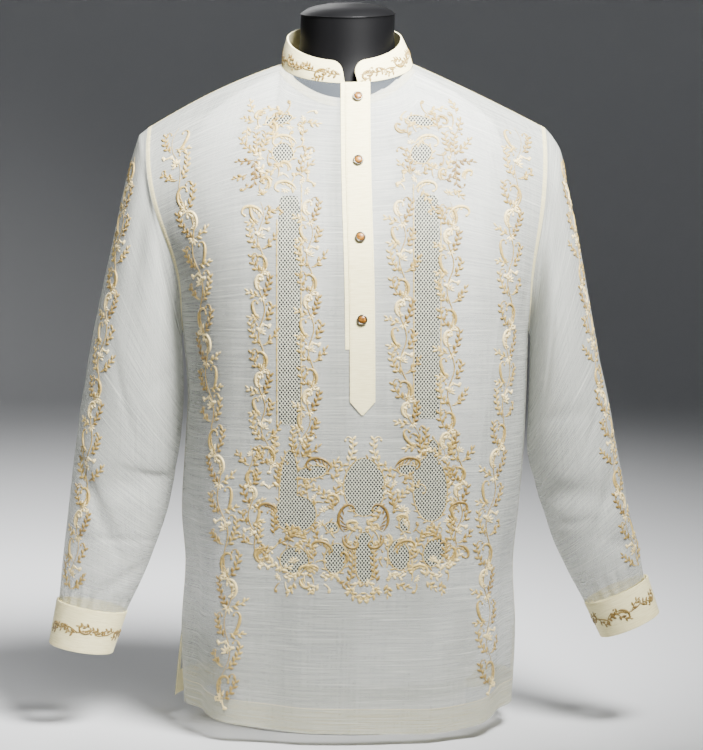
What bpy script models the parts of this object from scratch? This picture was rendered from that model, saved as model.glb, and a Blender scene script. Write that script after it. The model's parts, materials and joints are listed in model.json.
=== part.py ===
"""Barong tagalog shirt on a limbless dress form.

Metres, +Z up, the shirt's front towards -Y. The origin is under the plinth, on the surface it
stands on. "left" and "right" are those of someone who faces the shirt: left is -X. Heights in
the tables are above the hem. Each cut piece of cloth is a thin wall between two grids of
points, an outer and an inner one, and sewn neighbours share seam points less a small gap.
"""
import math
from collections import namedtuple

import bmesh
import bpy
from mathutils import Matrix, Vector

# ---------------------------------------------------------------- driving dimensions (metres)
SEAM_GAP = 0.0003            # between sewn pieces
CLOTH = 0.0015               # wall of a single layer
BAND = 0.0010                # wall of a facing or a placket strip
STIFFENED = 0.0018           # wall of the collar and cuffs, two layers and an interlining

HEM_HEIGHT = 0.030           # hem above the surface the plinth stands on
HEM_BAND = 0.025             # turned-up hem
HEM_FALL_REACH = 0.22        # height at which the hem's fall (HEM_LINE) has faded out
HEM_FALL_BACK = 0.6          # the back's share of that fall
SLIT_HEIGHT = 0.085          # side slits above the hem
SLIT_APART = 0.0065          # how far front and back edges stand from the side seam's plane there
SLIT_OUTWARD = 0.001         # and how far outward, but for the back's left edge
SLIT_OUTWARD_LEFT_BACK = 0.014
SLIT_SPREAD_REACH = 0.22     # share of the way to the middle in which that spread fades
UNDERARM = 0.444             # armhole's lowest point
SHOULDER_TIP = 0.686         # height of the shoulder seam at the armhole
SHOULDER_ARCH = {"left": 0.0055, "right": 0.0015}  # rise of each shoulder seam's middle
SHOULDER_FIRST = 0.07        # share of that seam before the panels' second column
NECK_POINT = 0.762           # height of the shoulder seam at the collar
NECK_HALF = 0.078            # half width of the neckline
NECK_DEPTH_FRONT = 0.070     # neckline's reach forward and back of the shoulder seam
NECK_DEPTH_BACK = 0.062
NECK_DROP_FRONT = 0.026      # neckline's fall at the front, and its rise at the back
NECK_RISE_BACK = 0.016
ARMHOLE_REACH = 0.068        # armhole's reach forward and back of the shoulder seam

PLACKET_WIDTH = 0.029
PLACKET_TIP = 0.355          # height of the point at its lower end
PLACKET_POINT = 0.015        # length of that point
PLACKET_POINT_BLUNT = 0.08   # half of the width that is left at its end, as a share
PLACKET_TOP_SHARE = 0.12     # share of the top row by which it stops under the collar
SLASH = 0.001                # the front's cut under the placket

COLLAR_FRONT = 0.026         # collar height at its ends, and at the sides and back
COLLAR_SIDE = 0.035
COLLAR_LEAN = 0.30           # how far it leans inward for its height
COLLAR_RISE = 1.4            # how late its height grows from front to side
COLLAR_BOW = 0.0012          # swell of its middle
COLLAR_SET = -0.003          # sideways shift of its top edge
COLLAR_CORNER = 0.014        # radius of its front corners, and the points let in round them
COLLAR_CORNER_STEPS = (0.002, 0.005, 0.009)
NEAREST = 0.001              # such a point isn't let in this near to one that is there

CUFF_OVERLAP = 28.0          # degrees by which a cuff's end laps over its start
CUFF_START = 12.0            # degrees behind the cuff's outer edge
CUFF_CORNER = 0.010          # radius of that end's corners, and shares of it with a column
CUFF_CORNER_STEPS = (1.0, 0.6, 0.25, 0.0)
CUFF_FORWARD = 0.003         # reach of its lower edge forward of its upper one
BUTTON_RADIUS = 0.0060
BUTTON_HEIGHT = 0.0034
BUTTON_LIFT = 0.00045        # its back above the middle of the cloth it lies on
BUTTON_PROFILE = [           # shares of the radius and height, from the dome to the back
    (0.0, 1.0), (0.42, 0.93), (0.70, 0.68), (0.80, 0.60), (0.92, 0.72),
    (1.0, 0.50), (0.94, 0.12), (0.80, 0.0), (0.0, 0.0),
]
BUTTON_HEIGHTS = (0.720, 0.646, 0.558, 0.464)

SECTION_POWER = 2.5          # roundness of the body's sections: 2 is an ellipse
FORM_POWER = 2.2             # and of the covered form's; its neck is an ellipse
ROLL_START = 0.28            # share of the way up from underarm where the cloth rolls back
ROLL_AT_SHOULDER = 2.1       # roundness of that roll over the shoulder and below the neck
ROLL_AT_NECK = 1.5
NECK_INSET = (0.7, 0.2)      # shares of the half width between which one roll becomes the other
SHOULDER_PULL = 0.15         # share of the way up where columns start towards the shoulder seam
FOLD_FADE_LOW = 0.08         # lengths over which the body's folds fade out at their ends
FOLD_FADE_HIGH = 0.14
CREASE_SLANT = 60            # degrees round a sleeve for a crease's slant of 1 along its length
HALF_TURN = math.pi / 2

# ---------------------------------------------------------------- tables, lowest row first
BodyRow = namedtuple("BodyRow", "height left right front back")
BODY = [  # distances from the middle of the neck, out to each side, to the front and the back
    BodyRow(0.000, 0.196, 0.198, 0.150, 0.134),
    BodyRow(0.085, 0.200, 0.203, 0.149, 0.132),
    BodyRow(0.165, 0.195, 0.200, 0.148, 0.129),
    BodyRow(0.228, 0.199, 0.206, 0.148, 0.128),
    BodyRow(0.300, 0.195, 0.212, 0.150, 0.129),
    BodyRow(0.372, 0.191, 0.215, 0.152, 0.131),
    BodyRow(0.444, 0.196, 0.217, 0.152, 0.134),
    BodyRow(0.530, 0.199, 0.220, 0.146, 0.134),
    BodyRow(0.612, 0.217, 0.228, 0.134, 0.128),
    BodyRow(0.686, 0.237, 0.236, 0.122, 0.120),
    BodyRow(0.780, 0.237, 0.236, 0.110, 0.112),
]
HemPoint = namedtuple("HemPoint", "across fall")
HEM_LINE = [  # across is -1 at the left side seam and 1 at the right
    HemPoint(-1.00, 0.0000), HemPoint(-0.85, 0.0030), HemPoint(-0.60, 0.0090),
    HemPoint(-0.30, 0.0140), HemPoint(0.10, 0.0155), HemPoint(0.60, 0.0175),
    HemPoint(0.80, 0.0120), HemPoint(0.93, 0.0020), HemPoint(1.00, 0.0000),
]
Middle = namedtuple("Middle", "height x")
PLACKET_LINE = [Middle(0.000, 0.008), Middle(0.355, 0.0180), Middle(0.736, 0.0125)]

# a panel's column: "left" or "right" with its share of the way in from that side seam, or
# "fixed" with its x from the placket's line; stop is the x where the ways in end, or None
Column = namedtuple("Column", "kind value stop index")

Fold = namedtuple("Fold", "angle drift width depth low high")
# angle: degrees round the body from the front, + to the right; drift: degrees for each metre up
BODY_FOLDS = [
    Fold(-68, -24, 8, 0.0120, -0.10, 0.30),
    Fold(-50, -12, 9, -0.0055, -0.10, 0.36),
    Fold(-33, 12, 9, 0.0055, -0.10, 0.40),
    Fold(24, -12, 10, 0.0050, -0.10, 0.42),
    Fold(46, -20, 9, 0.0075, -0.10, 0.38),
    Fold(69, 12, 8, 0.0070, -0.10, 0.26),
    Fold(116, -22, 9, 0.0085, -0.10, 0.38),
    Fold(146, 8, 10, 0.0090, -0.10, 0.48),
    Fold(178, 0, 11, -0.0060, -0.10, 0.42),
    Fold(-150, -6, 10, 0.0090, -0.10, 0.46),
    Fold(-119, 16, 9, 0.0085, -0.10, 0.40),
]

Edge = namedtuple("Edge", "height outer inner")
SLEEVES = {  # distances of a sleeve's outer and inner outline from the middle of the neck
    "left": [
        Edge(0.110, 0.346, 0.2640), Edge(0.156, 0.342, 0.2420), Edge(0.192, 0.338, 0.2280),
        Edge(0.228, 0.334, 0.2160), Edge(0.264, 0.330, 0.2080), Edge(0.300, 0.326, 0.2020),
        Edge(0.336, 0.322, 0.1980), Edge(0.372, 0.316, 0.1965), Edge(0.408, 0.310, 0.1975),
        Edge(0.436, 0.305, 0.1990), Edge(0.480, 0.296, 0.2000), Edge(0.552, 0.280, 0.2020),
        Edge(0.624, 0.264, 0.2060), Edge(0.660, 0.254, 0.2100), Edge(0.680, 0.247, 0.2200),
    ],
    "right": [
        Edge(0.110, 0.360, 0.2900), Edge(0.156, 0.355, 0.2650), Edge(0.192, 0.348, 0.2480),
        Edge(0.228, 0.338, 0.2360), Edge(0.264, 0.331, 0.2240), Edge(0.300, 0.324, 0.2170),
        Edge(0.336, 0.318, 0.2175), Edge(0.372, 0.311, 0.2190), Edge(0.408, 0.303, 0.2200),
        Edge(0.436, 0.298, 0.2205), Edge(0.480, 0.290, 0.2230), Edge(0.552, 0.277, 0.2260),
        Edge(0.624, 0.262, 0.2320), Edge(0.660, 0.2545, 0.2350), Edge(0.680, 0.2425, 0.2360),
    ],
}
Station = namedtuple("Station", "share depth forward")
SLEEVE_STATIONS = [  # share of the way down, half depth, and reach forward of the shoulder seam
    Station(0.00, 0.069, 0.000), Station(0.05, 0.071, 0.001), Station(0.12, 0.072, 0.002),
    Station(0.20, 0.072, 0.003), Station(0.28, 0.071, 0.004), Station(0.36, 0.070, 0.006),
    Station(0.44, 0.068, 0.008), Station(0.52, 0.066, 0.010), Station(0.60, 0.063, 0.013),
    Station(0.68, 0.060, 0.017), Station(0.76, 0.056, 0.021), Station(0.84, 0.051, 0.025),
    Station(0.92, 0.046, 0.029), Station(1.00, 0.039, 0.032),
]
SLEEVE_TOP = (0.678, 0.436)  # heights of the first ring below the armhole, outer and inner

Crease = namedtuple("Crease", "share angle slant width length depth")
# share: how far down the sleeve; angle: degrees round it, 0 in front, 90 outward
SLEEVE_CREASES = {
    "left": [
        Crease(0.10, 22, 0.0, 16, 0.16, 0.0050), Crease(0.62, -20, 0.9, 20, 0.12, 0.0045),
        Crease(0.74, 25, -0.8, 18, 0.10, 0.0040), Crease(0.50, 182, 0.6, 20, 0.14, 0.0045),
        Crease(0.72, 190, -0.7, 18, 0.10, 0.0040), Crease(0.90, -35, 0.5, 14, 0.07, 0.0030),
    ],
    "right": [
        Crease(0.10, 18, 0.0, 16, 0.17, 0.0060), Crease(0.66, -30, 1.0, 20, 0.12, 0.0050),
        Crease(0.80, 10, -0.8, 18, 0.09, 0.0040), Crease(0.48, 160, -0.6, 20, 0.14, 0.0045),
        Crease(0.70, 195, 0.7, 18, 0.10, 0.0040), Crease(0.91, 40, 0.5, 14, 0.06, 0.0030),
    ],
}

Cuff = namedtuple("Cuff", "top_outer top_inner bottom_outer bottom_inner depth_top depth_bottom")
CUFFS = {  # (distance from the middle of the neck, height) of the corners seen from the front
    "left": Cuff((0.3450, 0.1250), (0.2640, 0.1095), (0.3545, 0.0725), (0.2815, 0.0600),
                 0.039, 0.037),
    "right": Cuff((0.3575, 0.1520), (0.2850, 0.1200), (0.3715, 0.1085), (0.3045, 0.0795),
                  0.039, 0.037),
}

FormRow = namedtuple("FormRow", "side front back half reach_front reach_back middle")
# heights of the ring at its sides, front and back, then its half width and its reaches
TORSO = [
    FormRow(0.0300, 0.0300, 0.0300, 0.150, 0.100, 0.096, 0.003),
    FormRow(0.0900, 0.0900, 0.0900, 0.158, 0.106, 0.102, 0.004),
    FormRow(0.1700, 0.1700, 0.1700, 0.156, 0.104, 0.099, 0.006),
    FormRow(0.2600, 0.2600, 0.2600, 0.148, 0.099, 0.091, 0.009),
    FormRow(0.3500, 0.3500, 0.3500, 0.157, 0.109, 0.096, 0.010),
    FormRow(0.4400, 0.4400, 0.4400, 0.171, 0.122, 0.104, 0.010),
    FormRow(0.5200, 0.5200, 0.5200, 0.182, 0.122, 0.108, 0.009),
    FormRow(0.5900, 0.5700, 0.5800, 0.189, 0.108, 0.102, 0.005),
    FormRow(0.6450, 0.6080, 0.6180, 0.188, 0.094, 0.090, 0.001),
    FormRow(0.6860, 0.6380, 0.6420, 0.178, 0.085, 0.076, 0.000),
    FormRow(0.7080, 0.6600, 0.6640, 0.158, 0.080, 0.066, 0.000),
    FormRow(0.7300, 0.6820, 0.6900, 0.126, 0.078, 0.058, 0.000),
    FormRow(0.7540, 0.7080, 0.7240, 0.081, 0.076, 0.051, 0.000),
]
NECK = [
    FormRow(0.7640, 0.7320, 0.7480, 0.064, 0.060, 0.046, 0.000),
    FormRow(0.7840, 0.7620, 0.7880, 0.057, 0.054, 0.042, 0.000),
    FormRow(0.8180, 0.8100, 0.8260, 0.0560, 0.054, 0.041, 0.001),
    FormRow(0.8220, 0.8130, 0.8300, 0.0560, 0.054, 0.041, 0.001),
    FormRow(0.8290, 0.8230, 0.8350, 0.044, 0.042, 0.031, 0.001),
    FormRow(0.8340, 0.8320, 0.8360, 0.022, 0.022, 0.015, 0.001),
]
BASE_HALF_WIDTH = 0.140
BASE_HALF_DEPTH = 0.088
BASE_EDGE = 0.003            # rounding of the plinth's edges

# ---------------------------------------------------------------- how finely each is divided
SIDE_COLUMNS = 13            # from a side seam to the placket or the middle of the back
SHOULDER_COLUMNS = 8         # of those, the ones that end on the shoulder seam
FACING_SHARE = 0.033         # the first column's share of that way: a slit facing's width
LOW_ROWS = (0.0, HEM_BAND, SLIT_HEIGHT, 0.145, 0.205, 0.258, 0.308,
            PLACKET_TIP, PLACKET_TIP + PLACKET_POINT, 0.408, UNDERARM)
HIGH_ROWS = 10               # from the underarm up to the shoulder
FORM_SIDES = 32
CUFF_COLUMNS = 27
BUTTON_SIDES = 14
MERGE = 0.00005              # points of a turned profile nearer than this to its axis join
SHARP_ANGLE = 40             # degrees between faces above which an edge is drawn sharp

COLOURS = {
    "cloth": (0.66, 0.67, 0.66, 1.0),
    "doubled cloth": (0.86, 0.86, 0.78, 1.0),
    "button": (0.36, 0.16, 0.05, 1.0),
    "jersey": (0.80, 0.80, 0.76, 1.0),
    "black lacquer": (0.010, 0.010, 0.011, 1.0),
    "white paint": (0.76, 0.76, 0.74, 1.0),
}
ROUGHNESS = {"button": 0.30, "black lacquer": 0.30, "white paint": 0.45}


# ---------------------------------------------------------------- small helpers
def smooth_step(value):
    value = min(max(value, 0.0), 1.0)
    return value * value * (3 - 2 * value)


def mix(start, end, share):
    return start + (end - start) * share


def smooth_column(table, column, at, key="height"):
    """A table's column at a height, on a smooth curve through its rows."""
    keys = [getattr(row, key) for row in table]
    values = [getattr(row, column) for row in table]
    at = min(max(at, keys[0]), keys[-1])
    low = max(index for index in range(len(keys) - 1) if keys[index] <= at)

    def slope(index):
        before, after = max(index - 1, 0), min(index + 1, len(keys) - 1)
        return (values[after] - values[before]) / (keys[after] - keys[before])

    span = keys[low + 1] - keys[low]
    share = (at - keys[low]) / span
    square, cube = share * share, share ** 3
    return ((2 * cube - 3 * square + 1) * values[low] + (cube - 2 * square + share) * span
            * slope(low) + (3 * square - 2 * cube) * values[low + 1]
            + (cube - square) * span * slope(low + 1))


def signed_power(value, power):
    return math.copysign(abs(value) ** power, value)


def section(angle, power=SECTION_POWER):
    """Sideways and forward shares of a rounded section; angle 0 is its middle."""
    return (signed_power(math.sin(angle), 2 / power),
            abs(math.cos(angle)) ** (2 / power))


def arc_fall(share, start, power):
    """From 1 at start to 0 at 1, on a rounded curve."""
    late = max(0.0, (share - start) / (1 - start))
    return max(0.0, 1 - late ** power) ** (1 / power)


# ---------------------------------------------------------------- the body of the shirt
def body_middle(height):
    right = smooth_column(BODY, "right", height)
    left = smooth_column(BODY, "left", height)
    return (right - left) / 2, (right + left) / 2


def column_angle(column, height, middle, half, edge_angle):
    """A column's angle round a section with this middle and half width."""
    if column.kind == "fixed":
        across = (smooth_column(PLACKET_LINE, "x", height) + column.value - middle) / half
        return math.asin(signed_power(across, SECTION_POWER / 2))
    sign = -1 if column.kind == "left" else 1
    last = 0.0
    if column.stop is not None:
        stop = Column("fixed", column.stop, None, 0)
        last = column_angle(stop, height, middle, half, edge_angle)
    return mix(sign * edge_angle, last, column.value)


def fold_depth(angle, height):
    """How far the folds push the cloth inward at an angle round the body, in degrees."""
    total = 0.0
    for fold in BODY_FOLDS:
        off = (angle - fold.angle - fold.drift * height + 180) % 360 - 180
        fade = smooth_step((height - fold.low) / FOLD_FADE_LOW)
        fade *= smooth_step((fold.high - height) / FOLD_FADE_HIGH)
        total += fold.depth * fade * math.exp(-(off / fold.width) ** 2)
    return total


def side_columns(kind, stop):
    """Columns from a side seam inward; stop is the placket edge's x, or None at the back."""
    shares = [0.0] + [mix(FACING_SHARE, 1.0, step / (SIDE_COLUMNS - 1))
                      for step in range(SIDE_COLUMNS)]
    return [Column(kind, share, stop, index) for index, share in enumerate(shares)]


def panel_columns(side):
    if side == "front":
        half = PLACKET_WIDTH / 2
        left = side_columns("left", -half)
        right = side_columns("right", half)
        slash = [Column("fixed", -SLASH / 2, None, 0), Column("fixed", SLASH / 2, None, 0)]
        return left + slash + right[::-1]
    return side_columns("left", None) + side_columns("right", None)[:-1][::-1]


def top_point(column, facing):
    """Where a column ends: on the shoulder seam or on the neckline."""
    if column.kind == "fixed":
        across = smooth_column(PLACKET_LINE, "x", NECK_POINT) + column.value
        turn = math.asin(across / NECK_HALF)
        sign = 1
    else:
        sign = -1 if column.kind == "left" else 1
        if column.index <= SHOULDER_COLUMNS:
            share = 0.0
            if column.index > 0:
                share = mix(SHOULDER_FIRST, 1.0, (column.index - 1) / (SHOULDER_COLUMNS - 1))
            tip = smooth_column(BODY, column.kind, SHOULDER_TIP)
            arch = SHOULDER_ARCH[column.kind] * math.sin(math.pi * share)
            return Vector((sign * mix(tip, NECK_HALF, share), 0,
                           mix(SHOULDER_TIP, NECK_POINT, share) + arch))
        last = 0.0
        if column.stop is not None:
            last = abs(math.asin((smooth_column(PLACKET_LINE, "x", NECK_POINT) + column.stop)
                                 / NECK_HALF))
            crosses = sign * (smooth_column(PLACKET_LINE, "x", NECK_POINT) + column.stop) < 0
            last = -last if crosses else last
        share = (column.index - SHOULDER_COLUMNS) / (SIDE_COLUMNS - SHOULDER_COLUMNS)
        turn = sign * mix(HALF_TURN, last, share)
    reach = math.cos(turn)
    depth = NECK_DEPTH_FRONT if facing < 0 else NECK_DEPTH_BACK
    lift = -NECK_DROP_FRONT if facing < 0 else NECK_RISE_BACK
    return Vector((NECK_HALF * math.sin(turn), facing * depth * reach,
                   NECK_POINT + lift * reach))


def slit_spread(column, height, facing):
    """How the free edges of the side slits stand open below the side seams."""
    if column.kind == "fixed" or height >= SLIT_HEIGHT:
        return Vector((0, 0, 0))
    sign = -1 if column.kind == "left" else 1
    open_share = 1 - height / SLIT_HEIGHT
    near = math.exp(-column.value / SLIT_SPREAD_REACH)
    outward = SLIT_OUTWARD_LEFT_BACK if (facing > 0 and sign < 0) else SLIT_OUTWARD
    return Vector((sign * outward, facing * SLIT_APART, 0)) * open_share * near


def hem_fall(across, height, facing):
    """How far the cloth hangs below the side seams' level, at a share of the half width."""
    fade = 1 - smooth_step(height / HEM_FALL_REACH)
    fall = smooth_column(HEM_LINE, "fall", across, key="across") * fade
    return fall if facing < 0 else fall * HEM_FALL_BACK


def panel_point(column, row, side):
    """A point of the front's or back's outer surface; row is a height or a share above it."""
    facing = -1 if side == "front" else 1
    top = top_point(column, facing)
    low, share = row
    height = low if share is None else mix(UNDERARM, top.z, share)
    edge = height if share is None else mix(UNDERARM, SHOULDER_TIP, share)
    level = height if share is None else mix(edge, height, 0.5)
    middle, half = body_middle(edge)
    depth = smooth_column(BODY, side, level)
    edge_angle = HALF_TURN
    if share is not None and share < 1:
        armhole = ARMHOLE_REACH * math.sqrt(1 - (2 * share - 1) ** 2)
        armhole /= arc_fall(share, ROLL_START, ROLL_AT_SHOULDER)
        edge_angle = math.acos((armhole / depth) ** (SECTION_POWER / 2))
        half /= section(edge_angle)[0]
    across, reach = section(column_angle(column, edge, middle, half, edge_angle))
    x = middle + half * across
    y = depth * reach
    if share is not None:
        start, end = NECK_INSET
        inward = smooth_step((start - abs(across)) / (start - end))
        roll = arc_fall(share, ROLL_START, mix(ROLL_AT_SHOULDER, ROLL_AT_NECK, inward))
        y = mix(abs(top.y), y, roll)
        x = mix(x, top.x, smooth_step((share - SHOULDER_PULL) / (1 - SHOULDER_PULL)))
    bearing = math.degrees(math.atan2(x - middle, y * -facing))
    push = fold_depth(bearing, height)
    outward = Vector(((x - middle) / half ** 2, facing * y / depth ** 2, 0))
    outward = outward.normalized() if outward.length > 0 else Vector((0, facing, 0))
    point = Vector((x, facing * y, height)) - outward * push
    point += slit_spread(column, height, facing)
    point.y += facing * SEAM_GAP / 2
    point.z += HEM_HEIGHT - hem_fall((x - middle) / half, height, facing)
    return point


def panel_rows():
    rows = [(height, None) for height in LOW_ROWS]
    for step in range(1, HIGH_ROWS + 1):
        rows.append((None, (1 - math.cos(math.pi * step / HIGH_ROWS)) / 2))
    return rows


def panel_grid(side):
    columns = panel_columns(side)
    return [[panel_point(column, row, side) for column in columns] for row in panel_rows()]


# ---------------------------------------------------------------- walls from grids of points
def normals(grid, wrap=False, flip=False):
    """A unit normal at each point of a grid, from its neighbours along rows and columns."""
    rows, columns = len(grid), len(grid[0])
    result = []
    for r in range(rows):
        line = []
        for c in range(columns):
            if wrap:
                ahead, behind = grid[r][(c + 1) % columns], grid[r][c - 1]
            else:
                ahead, behind = grid[r][min(c + 1, columns - 1)], grid[r][max(c - 1, 0)]
            along = grid[min(r + 1, rows - 1)][c] - grid[max(r - 1, 0)][c]
            normal = (ahead - behind).cross(along).normalized()
            line.append(-normal if flip else normal)
        result.append(line)
    return result


def moved(grid, directions, distance):
    return [[point + way * distance for point, way in zip(line, ways)]
            for line, ways in zip(grid, directions)]


def kept_off(normal, axis, sign):
    """A wall's direction with the part that would cross a seam taken out."""
    inward = -normal
    if inward[axis] * sign > 0:
        inward = inward.copy()
        inward[axis] = 0
        inward.normalize()
    return -inward


def material(name):
    made = bpy.data.materials.get(name)
    if made is None:
        made = bpy.data.materials.new(name)
        made.use_nodes = True
        shader = made.node_tree.nodes["Principled BSDF"]
        shader.inputs["Base Color"].default_value = COLOURS[name]
        shader.inputs["Roughness"].default_value = ROUGHNESS.get(name, 0.8)
        made.diffuse_color = COLOURS[name]
    return made


def add_object(name, mesh, finish):
    data = bpy.data.meshes.new(name)
    bmesh.ops.recalc_face_normals(mesh, faces=mesh.faces)
    mesh.to_mesh(data)
    mesh.free()
    data.shade_smooth()
    data.set_sharp_from_angle(angle=math.radians(SHARP_ANGLE))
    data.materials.append(material(finish))
    made = bpy.data.objects.new(name, data)
    PARTS.objects.link(made)
    return made


def add_wall(name, outer, inner, finish, wrap=False, skipped=()):
    """A closed wall between two grids, over every cell (row, column) that isn't skipped."""
    mesh = bmesh.new()
    rows, columns = len(outer), len(outer[0])
    across = columns if wrap else columns - 1
    cells = {(r, c) for r in range(rows - 1) for c in range(across)} - set(skipped)
    made = {}

    def vertex(layer, r, c):
        key = (layer, r, c % columns)
        if key not in made:
            made[key] = mesh.verts.new((outer, inner)[layer][r][c % columns])
        return made[key]

    for r, c in sorted(cells):
        ring = [(r, c), (r, c + 1), (r + 1, c + 1), (r + 1, c)]
        corners = [outer[row][column % columns] for row, column in ring]
        turn = (corners[0] - corners[2]).length > (corners[1] - corners[3]).length
        for triple in ((1, 2, 3), (3, 0, 1)) if turn else ((0, 1, 2), (2, 3, 0)):
            mesh.faces.new([vertex(0, *ring[index]) for index in triple])
            mesh.faces.new([vertex(1, *ring[index]) for index in reversed(triple)])
        sides = [((r - 1, c), ring[0], ring[1]), ((r, c + 1), ring[1], ring[2]),
                 ((r + 1, c), ring[2], ring[3]), ((r, c - 1), ring[3], ring[0])]
        for (row, column), first, second in sides:
            if (row, column % columns if wrap else column) not in cells:
                mesh.faces.new([vertex(0, *second), vertex(0, *first),
                                vertex(1, *first), vertex(1, *second)])
    return add_object(name, mesh, finish)


def add_solid(name, rings, finish):
    """A closed solid through rings of points, with a fan over each end."""
    mesh = bmesh.new()
    lines = [[mesh.verts.new(point) for point in ring] for ring in rings]
    count = len(rings[0])
    for low, high in zip(lines, lines[1:]):
        for c in range(count):
            mesh.faces.new([low[c], low[(c + 1) % count], high[(c + 1) % count], high[c]])
    for line in (lines[0][::-1], lines[-1]):
        centre = mesh.verts.new(sum((vertex.co for vertex in line), Vector()) / count)
        for c in range(count):
            mesh.faces.new([line[c], line[(c + 1) % count], centre])
    return add_object(name, mesh, finish)


# ---------------------------------------------------------------- front, back and their bands
def panel_walls(side):
    """Outer and inner grids of the front or back, and the outward directions between them."""
    grid = panel_grid(side)
    facing = -1 if side == "front" else 1
    ways = normals(grid)
    if ways[len(LOW_ROWS)][SIDE_COLUMNS].y * facing < 0:
        ways = normals(grid, flip=True)
    last = len(grid) - 1
    for r, line in enumerate(ways):
        for c in (0, len(line) - 1):
            if r >= len(LOW_ROWS):
                line[c] = kept_off(line[c], 0, -1 if c == 0 else 1)
            line[c] = kept_off(line[c], 1, -facing)
        if r == last:
            line[:] = [kept_off(way, 1, -facing) if column.kind != "fixed"
                       and column.index <= SHOULDER_COLUMNS else way
                       for way, column in zip(line, panel_columns(side))]
    return grid, moved(grid, ways, -CLOTH), ways


def bare_cells(columns):
    """Cells below the slits' top that a panel's turned hem and slit facings don't cover."""
    return {(1, c) for c in range(1, columns - 2)}


def build_panels():
    walls = {}
    for side in ("front", "back"):
        outer, inner, ways = panel_walls(side)
        skipped = set()
        if side == "front":
            slash_foot = LOW_ROWS.index(PLACKET_TIP + PLACKET_POINT)
            skipped = {(r, SIDE_COLUMNS + 1) for r in range(slash_foot, len(outer) - 1)}
        add_wall(side, outer, inner, "cloth", skipped=skipped)
        rows = slice(0, LOW_ROWS.index(SLIT_HEIGHT) + 1)
        under = moved(inner[rows], ways[rows], -SEAM_GAP)
        add_wall("hem_band_" + side, under, moved(under, ways[rows], -BAND), "doubled cloth",
                 skipped=bare_cells(len(outer[0])))
        walls[side] = (outer, inner, ways)
    return walls


def placket_grid(points):
    """The placket's columns of the front, from its pointed end to just under the collar."""
    first, last = SIDE_COLUMNS, SIDE_COLUMNS + 3
    tip = LOW_ROWS.index(PLACKET_TIP)
    rows = [line[first:last + 1] for line in points[tip:]]
    left, middle_left, middle_right, right = rows[0]
    rows[0] = [mix(middle_left, left, PLACKET_POINT_BLUNT), middle_left, middle_right,
               mix(middle_right, right, PLACKET_POINT_BLUNT)]
    rows[-1] = [mix(top, below, PLACKET_TOP_SHARE) for top, below in zip(rows[-1], rows[-2])]
    return rows


def build_plackets(walls):
    outer, inner, ways = walls["front"]
    tip = LOW_ROWS.index(PLACKET_TIP)
    directions = [line[SIDE_COLUMNS:SIDE_COLUMNS + 4] for line in ways[tip:]]
    lower = moved(placket_grid(outer), directions, SEAM_GAP)
    upper = moved(lower, directions, BAND)
    add_wall("placket", upper, lower, "doubled cloth")
    under = moved(placket_grid(inner), directions, -SEAM_GAP)
    add_wall("placket_under", under, moved(under, directions, -BAND), "doubled cloth")
    return upper, directions


# ---------------------------------------------------------------- sleeves and cuffs
def armhole_ring(walls, side):
    """The panels' edges round an armhole: up the front from the underarm, down the back."""
    column = 0 if side == "left" else -1
    start = len(LOW_ROWS) - 1
    front = [line[column] for line in walls["front"][0][start:]]
    back = [line[column] for line in walls["back"][0][start:]]
    seam = [(front[0] + back[0]) / 2] + front[1:-1] + [(front[-1] + back[-1]) / 2]
    return seam + back[1:-1][::-1]


def ring_angles():
    """Angles of the armhole's points: -90 at the underarm, 0 in front, 90 at the shoulder."""
    up = [math.pi * step / HIGH_ROWS - HALF_TURN for step in range(HIGH_ROWS + 1)]
    return up + [math.pi - angle for angle in up[1:-1][::-1]]


def sleeve_push(side, share, angle):
    """How far the creases push a sleeve's cloth inward."""
    total = 0.0
    for crease in SLEEVE_CREASES[side]:
        along = (share - crease.share) / crease.length
        off = math.degrees(angle) - crease.angle - crease.slant * along * CREASE_SLANT
        off = (off + 180) % 360 - 180
        total += crease.depth * math.exp(-along ** 2 - (off / crease.width) ** 2)
    return total


def sleeve_outline(side, share):
    """Outer and inner points of a sleeve's outline at a share of the way down it."""
    cuff = CUFFS[side]
    outer = mix(SLEEVE_TOP[0], cuff.top_outer[1], share)
    inner = mix(SLEEVE_TOP[1], cuff.top_inner[1], share)
    return (Vector((smooth_column(SLEEVES[side], "outer", outer), 0, outer)),
            Vector((smooth_column(SLEEVES[side], "inner", inner), 0, inner)))


def build_sleeve(walls, side):
    sign = -1 if side == "left" else 1
    angles = ring_angles()
    seam = [point + Vector((sign * SEAM_GAP, 0, 0)) for point in armhole_ring(walls, side)]
    grid = [seam]
    for station in SLEEVE_STATIONS:
        outer, inner = sleeve_outline(side, station.share)
        centre, arm = (outer + inner) / 2, (outer - inner) / 2
        ring = []
        for angle in angles:
            push = 1 - sleeve_push(side, station.share, angle) / station.depth
            point = centre + arm * math.sin(angle) * push
            point.y = -station.forward - station.depth * math.cos(angle) * push
            ring.append(Vector((sign * point.x, point.y, point.z + HEM_HEIGHT)))
        grid.append(ring)
    ways = normals(grid, wrap=True)
    front = HIGH_ROWS // 2
    if ways[len(grid) // 2][front].y > 0:
        ways = normals(grid, wrap=True, flip=True)
    ways[0] = [kept_off(way, 0, -sign) for way in ways[0]]
    add_wall("sleeve_" + side, grid, moved(grid, ways, -CLOTH), "cloth", wrap=True)


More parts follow.
